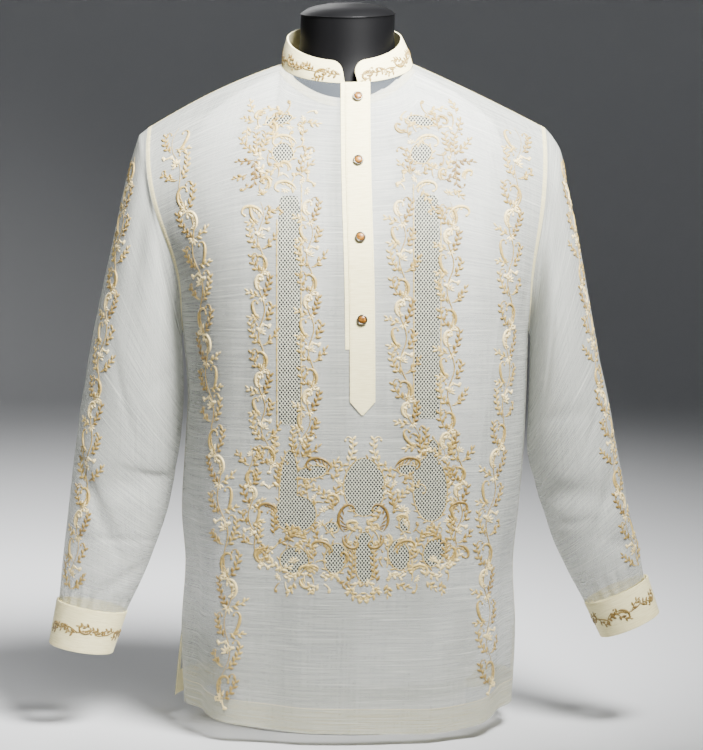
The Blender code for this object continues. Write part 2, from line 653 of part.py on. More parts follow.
def cuff_point(side, along, turn):
    """Outer point of a cuff: along runs from its top to its bottom edge, turn round it."""
    cuff = CUFFS[side]
    sign = -1 if side == "left" else 1
    outer = Vector(mix(Vector(cuff.top_outer), Vector(cuff.bottom_outer), along))
    inner = Vector(mix(Vector(cuff.top_inner), Vector(cuff.bottom_inner), along))
    centre, arm = (outer + inner) / 2, (outer - inner) / 2
    depth = mix(cuff.depth_top, cuff.depth_bottom, along)
    grow = 1 + (turn / 360) * (STIFFENED + 2 * SEAM_GAP) / depth
    angle = math.radians(CUFF_START + turn)
    flat = centre + arm * math.cos(angle) * grow
    forward = SLEEVE_STATIONS[-1].forward + CUFF_FORWARD * along
    return Vector((sign * flat.x, depth * math.sin(angle) * grow - forward,
                   flat.y + HEM_HEIGHT))


def build_cuff(side):
    """A strip once round the wrist, its rounded end lapped over its start."""
    sweep = 360 + CUFF_OVERLAP
    cuff = CUFFS[side]
    height = (Vector(cuff.top_outer) - Vector(cuff.bottom_outer)).length
    width = sweep / 360 * math.pi * (cuff.depth_top + cuff.depth_bottom)
    turns = [sweep * step / CUFF_COLUMNS for step in range(CUFF_COLUMNS)]
    turns += [sweep * (1 - share * CUFF_CORNER / width) for share in CUFF_CORNER_STEPS]
    turns.sort()
    grid = []
    for along in (0.0, 0.5, 1.0):
        line = []
        for turn in turns:
            left = (sweep - turn) / sweep * width
            cut = 0.0
            if left < CUFF_CORNER:
                cut = CUFF_CORNER - math.sqrt(CUFF_CORNER ** 2 - (CUFF_CORNER - left) ** 2)
            gap = SEAM_GAP / height if along == 0 else 0.0
            line.append(cuff_point(side, mix(along, 0.5, 2 * cut / height) + gap, turn))
        grid.append(line)
    ways = normals(grid)
    if ways[1][0].x * (-1 if side == "left" else 1) < 0:
        ways = normals(grid, flip=True)
    add_wall("cuff_" + side, grid, moved(grid, ways, -STIFFENED), "doubled cloth")
    spot = next(index for index, turn in enumerate(turns) if turn > sweep - CUFF_OVERLAP / 2)
    return grid[1][spot], ways[1][spot]


# ---------------------------------------------------------------- collar
def neckline(walls):
    """The panels' neck edge from the placket's left edge, round the back, to its middle."""
    front, back = walls["front"][0][-1], walls["back"][0][-1]
    left = front[SHOULDER_COLUMNS + 1:SIDE_COLUMNS + 1][::-1]
    behind = back[SHOULDER_COLUMNS:len(back) - SHOULDER_COLUMNS]
    right = front[SIDE_COLUMNS + 2:len(front) - SHOULDER_COLUMNS - 1][::-1]
    return left + behind + right


def with_extra(line, distances):
    """A line of points with more points let in at the given distances from both its ends."""
    total = sum((b - a).length for a, b in zip(line, line[1:]))
    wanted = sorted(set(distances) | {total - distance for distance in distances})
    points, travelled = [line[0]], 0.0
    for start, end in zip(line, line[1:]):
        length = (end - start).length
        for distance in wanted:
            if travelled + NEAREST < distance < travelled + length - NEAREST:
                points.append(mix(start, end, (distance - travelled) / length))
        points.append(end)
        travelled += length
    return points


def neck_outward(point):
    """The horizontal direction square to the neckline's ellipse at a point."""
    return Vector((point.x, point.y * (NECK_HALF / NECK_DEPTH_FRONT) ** 2, 0)).normalized()


def build_collar(walls):
    base = with_extra(neckline(walls), COLLAR_CORNER_STEPS + (COLLAR_CORNER,))
    lengths = [0.0]
    for start, end in zip(base, base[1:]):
        lengths.append(lengths[-1] + (end - start).length)
    total = lengths[-1]
    grid = [[], [], []]
    for point, distance in zip(base, lengths):
        outward = neck_outward(point)
        rise = math.sin(math.pi * distance / total) ** COLLAR_RISE
        height = mix(COLLAR_FRONT, COLLAR_SIDE, rise)
        near = min(distance, total - distance)
        if near < COLLAR_CORNER:
            height -= COLLAR_CORNER - math.sqrt(COLLAR_CORNER ** 2 - (COLLAR_CORNER - near) ** 2)
        for line, share in zip(grid, (0.0, 0.5, 1.0)):
            bow = COLLAR_BOW * math.sin(math.pi * share)
            line.append(point + Vector((COLLAR_SET * share, 0, SEAM_GAP + height * share))
                        - outward * (COLLAR_LEAN * height * share - bow))
    inner = [[point - neck_outward(point) * STIFFENED for point in line] for line in grid]
    add_wall("collar", grid, inner, "doubled cloth")


# ---------------------------------------------------------------- buttons
def build_button(name, seat, way):
    """A turned button with a raised rim and a low dome, its back towards the cloth."""
    data = bpy.data.meshes.new(name)
    points = [(share * BUTTON_RADIUS, 0, lift * BUTTON_HEIGHT) for share, lift in BUTTON_PROFILE]
    data.from_pydata(points, [(i, i + 1) for i in range(len(points) - 1)], [])
    data.materials.append(material("button"))
    made = bpy.data.objects.new(name, data)
    PARTS.objects.link(made)
    screw = made.modifiers.new("turn", "SCREW")
    screw.steps = screw.render_steps = BUTTON_SIDES
    screw.use_merge_vertices = True
    screw.merge_threshold = MERGE
    screw.use_smooth_shade = True
    turn = way.to_track_quat("Z", "Y").to_matrix().to_4x4()
    made.matrix_world = Matrix.Translation(seat + way * BUTTON_LIFT) @ turn


def build_placket_buttons(grid, directions):
    centre = [(line[1] + line[2]) / 2 for line in grid]
    ways = [(line[1] + line[2]).normalized() for line in directions]
    for number, height in enumerate(BUTTON_HEIGHTS, 1):
        wanted = height + HEM_HEIGHT
        low = max(i for i in range(len(centre) - 1) if centre[i].z <= wanted)
        share = (wanted - centre[low].z) / (centre[low + 1].z - centre[low].z)
        flat = (grid[low][2] - grid[low][1]).cross(centre[low + 1] - centre[low]).normalized()
        flat = flat if flat.dot(ways[low]) > 0 else -flat
        build_button("button_%d" % number, mix(centre[low], centre[low + 1], share), flat)


# ---------------------------------------------------------------- dress form
def form_ring(row, lift=0.0, power=FORM_POWER):
    """A ring whose side, front and back heights differ, so it can follow the shoulders."""
    ring = []
    for step in range(FORM_SIDES):
        angle = 2 * math.pi * step / FORM_SIDES
        forward = -math.sin(angle)
        x = row.middle + row.half * signed_power(math.cos(angle), 2 / power)
        reach = row.reach_front if forward > 0 else row.reach_back
        y = -signed_power(forward, 2 / power) * reach
        level = (row.front + row.back) / 2 - row.side
        z = row.side + (row.front - row.back) / 2 * forward + level * forward ** 2
        ring.append(Vector((x, y, z + HEM_HEIGHT + lift)))
    return ring


def build_form():
    add_solid("form_torso", [form_ring(row) for row in TORSO], "jersey")
    foot = form_ring(TORSO[-1], lift=SEAM_GAP)
    add_solid("form_neck", [foot] + [form_ring(row, power=2.0) for row in NECK],
              "black lacquer")
    height = TORSO[0].side + HEM_HEIGHT - SEAM_GAP
    mesh = bmesh.new()
    bmesh.ops.create_cone(mesh, cap_ends=True, segments=FORM_SIDES, radius1=1, radius2=1,
                          depth=height)
    bmesh.ops.scale(mesh, verts=mesh.verts, vec=(BASE_HALF_WIDTH, BASE_HALF_DEPTH, 1))
    bmesh.ops.translate(mesh, verts=mesh.verts, vec=(TORSO[0].middle, 0, height / 2))
    base = add_object("form_base", mesh, "white paint")
    bevel = base.modifiers.new("edge", "BEVEL")
    bevel.width = BASE_EDGE
    bevel.segments = 2
    bevel.limit_method = "ANGLE"


def build_shirt():
    walls = build_panels()
    grid, directions = build_plackets(walls)
    build_placket_buttons(grid, directions)
    build_collar(walls)
    for side in ("left", "right"):
        build_sleeve(walls, side)
        seat, way = build_cuff(side)
        build_button("cuff_button_" + side, seat, way)


for old in list(bpy.data.objects):
    bpy.data.objects.remove(old, do_unlink=True)
PARTS = bpy.data.collections.new("barong_tagalog_on_dress_form")
bpy.context.scene.collection.children.link(PARTS)
build_shirt()
build_form()
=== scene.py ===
"""Looks of a barong tagalog shirt on a limbless dress form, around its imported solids.

Metres, +Z up, the shirt's front towards -Y. "left" and "right" are those of someone who faces
the shirt: left is -X. Heights in the tables are above the side seams' lower end. The shapes of
the cloth repeat the solids' own formulas at a finer step; creases, weave, seams, openwork,
embroidery, buttons and the covered form are added here.
"""

import bisect
import json
import math
import random
from collections import namedtuple

import bmesh
import bpy
from bpy.props import FloatProperty, FloatVectorProperty, IntProperty, PointerProperty
from mathutils import Matrix, Vector
from mathutils.bvhtree import BVHTree

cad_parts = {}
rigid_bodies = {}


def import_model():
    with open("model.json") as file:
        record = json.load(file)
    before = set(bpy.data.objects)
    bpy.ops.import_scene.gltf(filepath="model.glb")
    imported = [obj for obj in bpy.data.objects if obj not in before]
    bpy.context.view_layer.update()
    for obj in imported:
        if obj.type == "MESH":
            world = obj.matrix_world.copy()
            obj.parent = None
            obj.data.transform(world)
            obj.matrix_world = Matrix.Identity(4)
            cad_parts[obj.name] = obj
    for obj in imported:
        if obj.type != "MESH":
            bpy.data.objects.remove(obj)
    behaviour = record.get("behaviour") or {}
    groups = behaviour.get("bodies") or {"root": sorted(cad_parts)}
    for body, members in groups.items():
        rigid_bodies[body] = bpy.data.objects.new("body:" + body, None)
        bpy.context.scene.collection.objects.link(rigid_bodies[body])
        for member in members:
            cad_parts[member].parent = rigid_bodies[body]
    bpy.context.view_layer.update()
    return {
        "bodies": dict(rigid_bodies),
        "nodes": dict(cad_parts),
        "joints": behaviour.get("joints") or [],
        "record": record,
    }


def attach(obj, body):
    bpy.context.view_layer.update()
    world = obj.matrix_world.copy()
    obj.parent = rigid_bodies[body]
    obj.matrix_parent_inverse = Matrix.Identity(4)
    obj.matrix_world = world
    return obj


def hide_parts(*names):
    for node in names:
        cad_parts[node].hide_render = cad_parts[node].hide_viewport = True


bl_info = {
    "name": "Barong tagalog on a dress form",
    "version": (1, 0, 0),
    "blender": (4, 5, 0),
    "location": "3D View > Sidebar > Barong",
    "description": "Makes the cloth, embroidery, buttons and dress form of a barong tagalog",
    "category": "Object",
}

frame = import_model()
BODY_NAME = "root"

# ---------------------------------------------------------------- the shirt's own sizes (metres)
SEAM_GAP = 0.0003
PLACKET_BAND = 0.0010
STIFFENED = 0.0018
HEM_HEIGHT = 0.030
HEM_BAND = 0.025
HEM_FALL_REACH = 0.22
HEM_FALL_BACK = 0.6
SLIT_HEIGHT = 0.085
SLIT_APART = 0.0065
SLIT_OUTWARD = 0.001
SLIT_OUTWARD_LEFT_BACK = 0.014
SLIT_SPREAD_REACH = 0.22
UNDERARM = 0.444
SHOULDER_TIP = 0.686
SHOULDER_ARCH = {"left": 0.0055, "right": 0.0015}
SHOULDER_FIRST = 0.07
NECK_POINT = 0.762
NECK_HALF = 0.078
NECK_DEPTH_FRONT = 0.070
NECK_DEPTH_BACK = 0.062
NECK_DROP_FRONT = 0.026
NECK_RISE_BACK = 0.016
ARMHOLE_REACH = 0.068
PLACKET_WIDTH = 0.029
PLACKET_TIP = 0.355
PLACKET_POINT = 0.015
SLASH = 0.001
SLASH_EDGE_FOOT = 0.43       # where the slash's turned edge comes out beside the placket
COLLAR_FRONT = 0.026
COLLAR_SIDE = 0.035
COLLAR_LEAN = 0.30
COLLAR_RISE = 1.4
COLLAR_BOW = 0.0012
COLLAR_SET = -0.003
COLLAR_CORNER = 0.014
CUFF_OVERLAP = 28.0
CUFF_START = 12.0
CUFF_CORNER = 0.010
CUFF_FORWARD = 0.003
SECTION_POWER = 2.5
FORM_POWER = 2.2
ROLL_START = 0.28
ROLL_AT_SHOULDER = 2.1
ROLL_AT_NECK = 1.5
NECK_INSET = (0.7, 0.2)
SHOULDER_PULL = 0.15
FOLD_FADE_LOW = 0.08
FOLD_FADE_HIGH = 0.14
CREASE_SLANT = 60
QUARTER_TURN = math.pi / 2
FRONTWARD = (0, -1, 0)
SIDE_COLUMNS = 13            # the solids' columns from a side seam inward, which place the neck
SHOULDER_COLUMNS = 8
FACING_SHARE = 0.033


def rows_of(kind, rows):
    return [kind(*row) for row in rows]


BodyRow = namedtuple("BodyRow", "height left right front back")
BODY = rows_of(BodyRow, [
    (0.000, 0.196, 0.198, 0.150, 0.134),
    (0.085, 0.200, 0.203, 0.149, 0.132),
    (0.165, 0.195, 0.200, 0.148, 0.129),
    (0.228, 0.199, 0.206, 0.148, 0.128),
    (0.300, 0.195, 0.212, 0.150, 0.129),
    (0.372, 0.191, 0.215, 0.152, 0.131),
    (0.444, 0.196, 0.217, 0.152, 0.134),
    (0.530, 0.199, 0.220, 0.146, 0.134),
    (0.612, 0.217, 0.228, 0.134, 0.128),
    (0.686, 0.237, 0.236, 0.122, 0.120),
    (0.780, 0.237, 0.236, 0.110, 0.112),
])
HemPoint = namedtuple("HemPoint", "across fall")
HEM_LINE = rows_of(HemPoint, [  # across is -1 at the left side seam and 1 at the right
    (-1.00, 0.0000), (-0.85, 0.0030), (-0.60, 0.0090),
    (-0.30, 0.0140), (0.10, 0.0155), (0.60, 0.0175),
    (0.80, 0.0120), (0.93, 0.0020), (1.00, 0.0000),
])
Middle = namedtuple("Middle", "height x")
PLACKET_LINE = [Middle(0.000, 0.008), Middle(0.355, 0.0180), Middle(0.736, 0.0125)]

Fold = namedtuple("Fold", "angle drift width depth low high")
# angle: degrees round the body from the front, + to the right; drift: degrees for each metre up
BODY_FOLDS = rows_of(Fold, [
    (-68, -24, 8, 0.0120, -0.10, 0.30), (-50, -12, 9, -0.0055, -0.10, 0.36),
    (-33, 12, 9, 0.0055, -0.10, 0.40), (24, -12, 10, 0.0050, -0.10, 0.42),
    (46, -20, 9, 0.0075, -0.10, 0.38), (69, 12, 8, 0.0070, -0.10, 0.26),
    (116, -22, 9, 0.0085, -0.10, 0.38), (146, 8, 10, 0.0090, -0.10, 0.48),
    (178, 0, 11, -0.0060, -0.10, 0.42), (-150, -6, 10, 0.0090, -0.10, 0.46),
    (-119, 16, 9, 0.0085, -0.10, 0.40),
])
FINE_FOLDS = rows_of(Fold, [  # shallow ones that the solids don't have
    (-84, 10, 3.0, 0.0016, 0.20, 0.50), (-57, 30, 3.5, 0.0012, 0.30, 0.62),
    (-15, -20, 4.0, 0.0010, 0.02, 0.34), (9, 16, 4.5, 0.0012, -0.10, 0.30),
    (35, -34, 4.0, 0.0013, 0.02, 0.36), (58, 26, 3.5, 0.0014, 0.28, 0.60),
    (83, -8, 3.0, 0.0018, 0.18, 0.52), (128, 14, 4.0, 0.0016, 0.06, 0.50),
    (163, -16, 4.5, 0.0014, 0.04, 0.56), (-134, 12, 4.0, 0.0016, 0.10, 0.52),
    (-166, 18, 4.5, 0.0014, -0.02, 0.46), (-103, -12, 3.5, 0.0015, 0.08, 0.46),
])

Edge = namedtuple("Edge", "height outer inner")
SLEEVES = {
    "left": rows_of(Edge, [
        (0.110, 0.346, 0.2640), (0.156, 0.342, 0.2420), (0.192, 0.338, 0.2280),
        (0.228, 0.334, 0.2160), (0.264, 0.330, 0.2080), (0.300, 0.326, 0.2020),
        (0.336, 0.322, 0.1980), (0.372, 0.316, 0.1965), (0.408, 0.310, 0.1975),
        (0.436, 0.305, 0.1990), (0.480, 0.296, 0.2000), (0.552, 0.280, 0.2020),
        (0.624, 0.264, 0.2060), (0.660, 0.254, 0.2100), (0.680, 0.247, 0.2200),
    ]),
    "right": rows_of(Edge, [
        (0.110, 0.360, 0.2900), (0.156, 0.355, 0.2650), (0.192, 0.348, 0.2480),
        (0.228, 0.338, 0.2360), (0.264, 0.331, 0.2240), (0.300, 0.324, 0.2170),
        (0.336, 0.318, 0.2175), (0.372, 0.311, 0.2190), (0.408, 0.303, 0.2200),
        (0.436, 0.298, 0.2205), (0.480, 0.290, 0.2230), (0.552, 0.277, 0.2260),
        (0.624, 0.262, 0.2320), (0.660, 0.2545, 0.2350), (0.680, 0.2425, 0.2360),
    ]),
}
Station = namedtuple("Station", "share depth forward")
SLEEVE_STATIONS = rows_of(Station, [
    (0.00, 0.069, 0.000), (0.05, 0.071, 0.001), (0.12, 0.072, 0.002),
    (0.20, 0.072, 0.003), (0.28, 0.071, 0.004), (0.36, 0.070, 0.006),
    (0.44, 0.068, 0.008), (0.52, 0.066, 0.010), (0.60, 0.063, 0.013),
    (0.68, 0.060, 0.017), (0.76, 0.056, 0.021), (0.84, 0.051, 0.025),
    (0.92, 0.046, 0.029), (1.00, 0.039, 0.032),
])
SLEEVE_TOP = (0.678, 0.436)

Crease = namedtuple("Crease", "share angle slant width length depth")
# share: how far down the sleeve; angle: degrees round it, 0 in front, 90 outward
SLEEVE_CREASES = {
    "left": rows_of(Crease, [
        (0.10, 22, 0.0, 16, 0.16, 0.0050), (0.62, -20, 0.9, 20, 0.12, 0.0045),
        (0.74, 25, -0.8, 18, 0.10, 0.0040), (0.50, 182, 0.6, 20, 0.14, 0.0045),
        (0.72, 190, -0.7, 18, 0.10, 0.0040), (0.90, -35, 0.5, 14, 0.07, 0.0030),
    ]),
    "right": rows_of(Crease, [
        (0.10, 18, 0.0, 16, 0.17, 0.0060), (0.66, -30, 1.0, 20, 0.12, 0.0050),
        (0.80, 10, -0.8, 18, 0.09, 0.0040), (0.48, 160, -0.6, 20, 0.14, 0.0045),
        (0.70, 195, 0.7, 18, 0.10, 0.0040), (0.91, 40, 0.5, 14, 0.06, 0.0030),
    ]),
}
FINE_CREASES = {  # shallow ones that the solids don't have
    "left": rows_of(Crease, [
        (0.30, -28, 0.3, 7, 0.10, 0.0014), (0.45, 10, -0.4, 8, 0.08, 0.0012),
        (0.56, -42, 0.7, 8, 0.06, 0.0016), (0.68, 52, -0.7, 8, 0.06, 0.0014),
        (0.80, -8, 0.8, 8, 0.05, 0.0016), (0.60, 120, 0.6, 9, 0.07, 0.0016),
        (0.82, 165, -0.6, 8, 0.06, 0.0014), (0.38, 200, 0.4, 9, 0.09, 0.0014),
    ]),
    "right": rows_of(Crease, [
        (0.28, -22, -0.3, 7, 0.10, 0.0014), (0.48, -6, 0.5, 8, 0.08, 0.0013),
        (0.60, 22, -0.7, 8, 0.06, 0.0016), (0.73, -45, 0.7, 8, 0.06, 0.0016),
        (0.86, -15, -0.8, 8, 0.05, 0.0015), (0.58, 130, -0.6, 9, 0.07, 0.0016),
        (0.80, 170, 0.6, 8, 0.06, 0.0014), (0.34, 210, -0.4, 9, 0.09, 0.0014),
    ]),
}
GATHERS = 17                 # small waves where a sleeve is gathered into its cuff
GATHER_DEPTH = 0.0011
GATHER_REACH = 0.10          # share of the sleeve's length in which they fade

Cuff = namedtuple("Cuff", "top_outer top_inner bottom_outer bottom_inner depth_top depth_bottom")
CUFFS = {
    "left": Cuff((0.3450, 0.1250), (0.2640, 0.1095), (0.3545, 0.0725), (0.2815, 0.0600),
                 0.039, 0.037),
    "right": Cuff((0.3575, 0.1520), (0.2850, 0.1200), (0.3715, 0.1085), (0.3045, 0.0795),
                  0.039, 0.037),
}

FormRow = namedtuple("FormRow", "side front back half reach_front reach_back middle")
TORSO = rows_of(FormRow, [
    (0.0300, 0.0300, 0.0300, 0.150, 0.100, 0.096, 0.003),
    (0.0900, 0.0900, 0.0900, 0.158, 0.106, 0.102, 0.004),
    (0.1700, 0.1700, 0.1700, 0.156, 0.104, 0.099, 0.006),
    (0.2600, 0.2600, 0.2600, 0.148, 0.099, 0.091, 0.009),
    (0.3500, 0.3500, 0.3500, 0.157, 0.109, 0.096, 0.010),
    (0.4400, 0.4400, 0.4400, 0.171, 0.122, 0.104, 0.010),
    (0.5200, 0.5200, 0.5200, 0.182, 0.122, 0.108, 0.009),
    (0.5900, 0.5700, 0.5800, 0.189, 0.108, 0.102, 0.005),
    (0.6450, 0.6080, 0.6180, 0.188, 0.094, 0.090, 0.001),
    (0.6860, 0.6380, 0.6420, 0.178, 0.085, 0.076, 0.000),
    (0.7080, 0.6600, 0.6640, 0.158, 0.080, 0.066, 0.000),
    (0.7300, 0.6820, 0.6900, 0.126, 0.078, 0.058, 0.000),
    (0.7540, 0.7080, 0.7240, 0.081, 0.076, 0.051, 0.000),
])
NECK = rows_of(FormRow, [
    (0.7640, 0.7320, 0.7480, 0.064, 0.060, 0.046, 0.000),
    (0.7840, 0.7620, 0.7880, 0.057, 0.054, 0.042, 0.000),
    (0.8180, 0.8100, 0.8260, 0.0560, 0.054, 0.041, 0.001),
    (0.8220, 0.8130, 0.8300, 0.0560, 0.054, 0.041, 0.001),
    (0.8290, 0.8230, 0.8350, 0.044, 0.042, 0.031, 0.001),
    (0.8340, 0.8320, 0.8360, 0.022, 0.022, 0.015, 0.001),
])

# ---------------------------------------------------------------- how finely the looks are made
LOW_STEPS = 110              # rows from the hem to the underarm
HIGH_STEPS = 72              # and from there to the shoulder
SIDE_STEPS = 62              # columns from a side seam to the placket or the middle of the back
SLEEVE_STEPS = 120
SEAM_RINGS = 5               # rings between the armhole and the sleeve's first full section
PLACKET_STEPS = 4            # columns from each of the placket's edges to the slash
SHARP = 50                   # degrees between faces from which their edge is sharp
NECK_SHARE = FACING_SHARE + (1 - FACING_SHARE) * (SHOULDER_COLUMNS - 1) / (SIDE_COLUMNS - 1)
NECK_COLUMN = round(SIDE_STEPS * NECK_SHARE)         # the column on the neck point
SLIT_ROW = round(SLIT_HEIGHT / UNDERARM * LOW_STEPS)


# ---------------------------------------------------------------- small helpers
def linear(code):
    """An sRGB hex colour as the linear values that shaders take."""
    parts = [int(code[at:at + 2], 16) / 255 for at in (1, 3, 5)]
    return [p / 12.92 if p <= 0.04045 else ((p + 0.055) / 1.055) ** 2.4 for p in parts] + [1.0]


def smooth_step(value):
    value = min(max(value, 0.0), 1.0)
    return value * value * (3 - 2 * value)


def mix(start, end, share):
    return start + (end - start) * share


def signed_power(value, power):
    return math.copysign(abs(value) ** power, value)


class Curve:
    """A table's column as a smooth function of another of its columns."""

    def __init__(self, table, column, key="height"):
        self.keys = [getattr(row, key) for row in table]
        self.values = [getattr(row, column) for row in table]

    def slope(self, index):
        before, after = max(index - 1, 0), min(index + 1, len(self.keys) - 1)
        return (self.values[after] - self.values[before]) / (self.keys[after] - self.keys[before])

    def __call__(self, at):
        at = min(max(at, self.keys[0]), self.keys[-1])
        low = min(max(bisect.bisect_right(self.keys, at) - 1, 0), len(self.keys) - 2)
        span = self.keys[low + 1] - self.keys[low]
        share = (at - self.keys[low]) / span
        square, cube = share * share, share ** 3
        return ((2 * cube - 3 * square + 1) * self.values[low]
                + (cube - 2 * square + share) * span * self.slope(low)
                + (3 * square - 2 * cube) * self.values[low + 1]
                + (cube - square) * span * self.slope(low + 1))


BODY_AT = {name: Curve(BODY, name) for name in ("left", "right", "front", "back")}
PLACKET_AT = Curve(PLACKET_LINE, "x")
HEM_AT = Curve(HEM_LINE, "fall", "across")
SLEEVE_AT = {(side, name): Curve(SLEEVES[side], name)
             for side in SLEEVES for name in ("outer", "inner")}
STATION_AT = {name: Curve(SLEEVE_STATIONS, name, "share") for name in ("depth", "forward")}


def section(angle):
    return (signed_power(math.sin(angle), 2 / SECTION_POWER),
            abs(math.cos(angle)) ** (2 / SECTION_POWER))


def arc_fall(share, start, power):
    late = max(0.0, (share - start) / (1 - start))
    return max(0.0, 1 - late ** power) ** (1 / power)


# ---------------------------------------------------------------- form of the front and back
Way = namedtuple("Way", "kind share stop")
# a column: "left" or "right" with its share of the way in from that side seam, or "fixed"
# with its x from the placket's line as the share; stop is the x where the ways in end, or None


def column_angle(way, height, middle, half, edge_angle):
    if way.kind == "fixed":
        across = (PLACKET_AT(height) + way.share - middle) / half
        return math.asin(signed_power(across, SECTION_POWER / 2))
    sign = -1 if way.kind == "left" else 1
    last = 0.0
    if way.stop is not None:
        last = column_angle(Way("fixed", way.stop, None), height, middle, half, edge_angle)
    return mix(sign * edge_angle, last, way.share)


def fold_depth(angle, height):
    total = 0.0
    for fold in BODY_FOLDS + FINE_FOLDS:
        off = (angle - fold.angle - fold.drift * height + 180) % 360 - 180
        if abs(off) < 4 * fold.width:
            fade = smooth_step((height - fold.low) / FOLD_FADE_LOW)
            fade *= smooth_step((fold.high - height) / FOLD_FADE_HIGH)
            total += fold.depth * fade * math.exp(-(off / fold.width) ** 2)
    return total


def seam_index(share):
    """The place of a share of the way in among the solids' columns, which needn't be whole."""
    if share < FACING_SHARE:
        return share / FACING_SHARE
    return 1 + (share - FACING_SHARE) / (1 - FACING_SHARE) * (SIDE_COLUMNS - 1)


def top_point(way, facing):
    """Where a column ends: on the shoulder seam or on the neckline."""
    if way.kind == "fixed":
        turn = math.asin((PLACKET_AT(NECK_POINT) + way.share) / NECK_HALF)
    else:
        sign = -1 if way.kind == "left" else 1
        index = seam_index(way.share)
        if index <= SHOULDER_COLUMNS:
            share = SHOULDER_FIRST * index
            if index > 1:
                share = mix(SHOULDER_FIRST, 1.0, (index - 1) / (SHOULDER_COLUMNS - 1))
            tip = BODY_AT[way.kind](SHOULDER_TIP)
            arch = SHOULDER_ARCH[way.kind] * math.sin(math.pi * share)
            return Vector((sign * mix(tip, NECK_HALF, share), 0,
                           mix(SHOULDER_TIP, NECK_POINT, share) + arch))
        last = 0.0
        if way.stop is not None:
            last = sign * math.asin((PLACKET_AT(NECK_POINT) + way.stop) / NECK_HALF)
        share = (index - SHOULDER_COLUMNS) / (SIDE_COLUMNS - SHOULDER_COLUMNS)
        turn = sign * mix(QUARTER_TURN, last, share)
    reach = math.cos(turn)
    depth = NECK_DEPTH_FRONT if facing < 0 else NECK_DEPTH_BACK
    lift = -NECK_DROP_FRONT if facing < 0 else NECK_RISE_BACK
    return Vector((NECK_HALF * math.sin(turn), facing * depth * reach,
                   NECK_POINT + lift * reach))


def slit_spread(way, height, facing):
    if way.kind == "fixed" or height >= SLIT_HEIGHT:
        return Vector((0, 0, 0))
    sign = -1 if way.kind == "left" else 1
    near = math.exp(-way.share / SLIT_SPREAD_REACH) * (1 - height / SLIT_HEIGHT)
    outward = SLIT_OUTWARD_LEFT_BACK if (facing > 0 and sign < 0) else SLIT_OUTWARD
    return Vector((sign * outward, facing * SLIT_APART, 0)) * near


def hem_fall(across, height, facing):
    fall = HEM_AT(across) * (1 - smooth_step(height / HEM_FALL_REACH))
    return fall if facing < 0 else fall * HEM_FALL_BACK


def panel_point(way, row, side):
    """A point of the front's or back's face; row is (height, None) or (None, share above)."""
    facing = -1 if side == "front" else 1
    top = top_point(way, facing)
    low, share = row
    height = low if share is None else mix(UNDERARM, top.z, share)
    edge = height if share is None else mix(UNDERARM, SHOULDER_TIP, share)
    level = height if share is None else mix(edge, height, 0.5)
    right, left = BODY_AT["right"](edge), BODY_AT["left"](edge)
    middle, half = (right - left) / 2, (right + left) / 2
    depth = BODY_AT[side](level)
    edge_angle = QUARTER_TURN
    if share is not None and share < 1:
        armhole = ARMHOLE_REACH * math.sqrt(1 - (2 * share - 1) ** 2)
        armhole /= arc_fall(share, ROLL_START, ROLL_AT_SHOULDER)
        edge_angle = math.acos((armhole / depth) ** (SECTION_POWER / 2))
        half /= section(edge_angle)[0]
    across, reach = section(column_angle(way, edge, middle, half, edge_angle))
    x = middle + half * across
    y = depth * reach
    if share is not None:
        start, end = NECK_INSET
        inward = smooth_step((start - abs(across)) / (start - end))
        roll = arc_fall(share, ROLL_START, mix(ROLL_AT_SHOULDER, ROLL_AT_NECK, inward))
        y = mix(abs(top.y), y, roll)
        x = mix(x, top.x, smooth_step((share - SHOULDER_PULL) / (1 - SHOULDER_PULL)))
    push = fold_depth(math.degrees(math.atan2(x - middle, y * -facing)), height)
    outward = Vector(((x - middle) / half ** 2, facing * y / depth ** 2, 0))
    outward = outward.normalized() if outward.length > 0 else Vector((0, facing, 0))
    point = Vector((x, facing * y, height)) - outward * push
    point += slit_spread(way, height, facing)
    point.y += facing * SEAM_GAP / 2
    point.z += HEM_HEIGHT - hem_fall((x - middle) / half, height, facing)
    return point


def side_ways(kind, stop):
    """Columns from a side seam inward, one of them on the neck point."""
    shares = [NECK_SHARE * step / NECK_COLUMN for step in range(NECK_COLUMN)]
    inner = SIDE_STEPS - NECK_COLUMN
    shares += [mix(NECK_SHARE, 1.0, step / inner) for step in range(inner + 1)]
    return [Way(kind, share, stop) for share in shares]


def panel_ways(side):
    if side == "front":
        half = PLACKET_WIDTH / 2
        steps = range(PLACKET_STEPS + 1)
        strip = [Way("fixed", mix(-half, -SLASH / 2, step / PLACKET_STEPS), None)
                 for step in steps[1:]]
        other = [Way("fixed", mix(SLASH / 2, half, step / PLACKET_STEPS), None)
                 for step in steps[:-1]]
        return side_ways("left", -half) + strip + other + side_ways("right", half)[::-1]
    return side_ways("left", None) + side_ways("right", None)[:-1][::-1]


LOW_ROWS = [(UNDERARM * step / LOW_STEPS, None) for step in range(LOW_STEPS + 1)]
HIGH_ROWS = [(None, (1 - math.cos(math.pi * step / HIGH_STEPS)) / 2)
             for step in range(1, HIGH_STEPS + 1)]


# ---------------------------------------------------------------- grids of points and shells
def grid_ways(grid, wrap=False):
    """A unit normal at each point of a grid, from its neighbours."""
    rows, columns = len(grid), len(grid[0])
    result = []
    for r in range(rows):
        line = []
        for c in range(columns):
            if wrap:
                ahead, behind = grid[r][(c + 1) % columns], grid[r][c - 1]
            else:
                ahead, behind = grid[r][min(c + 1, columns - 1)], grid[r][max(c - 1, 0)]
            along = grid[min(r + 1, rows - 1)][c] - grid[max(r - 1, 0)][c]
            line.append((ahead - behind).cross(along).normalized())
        result.append(line)
    return result


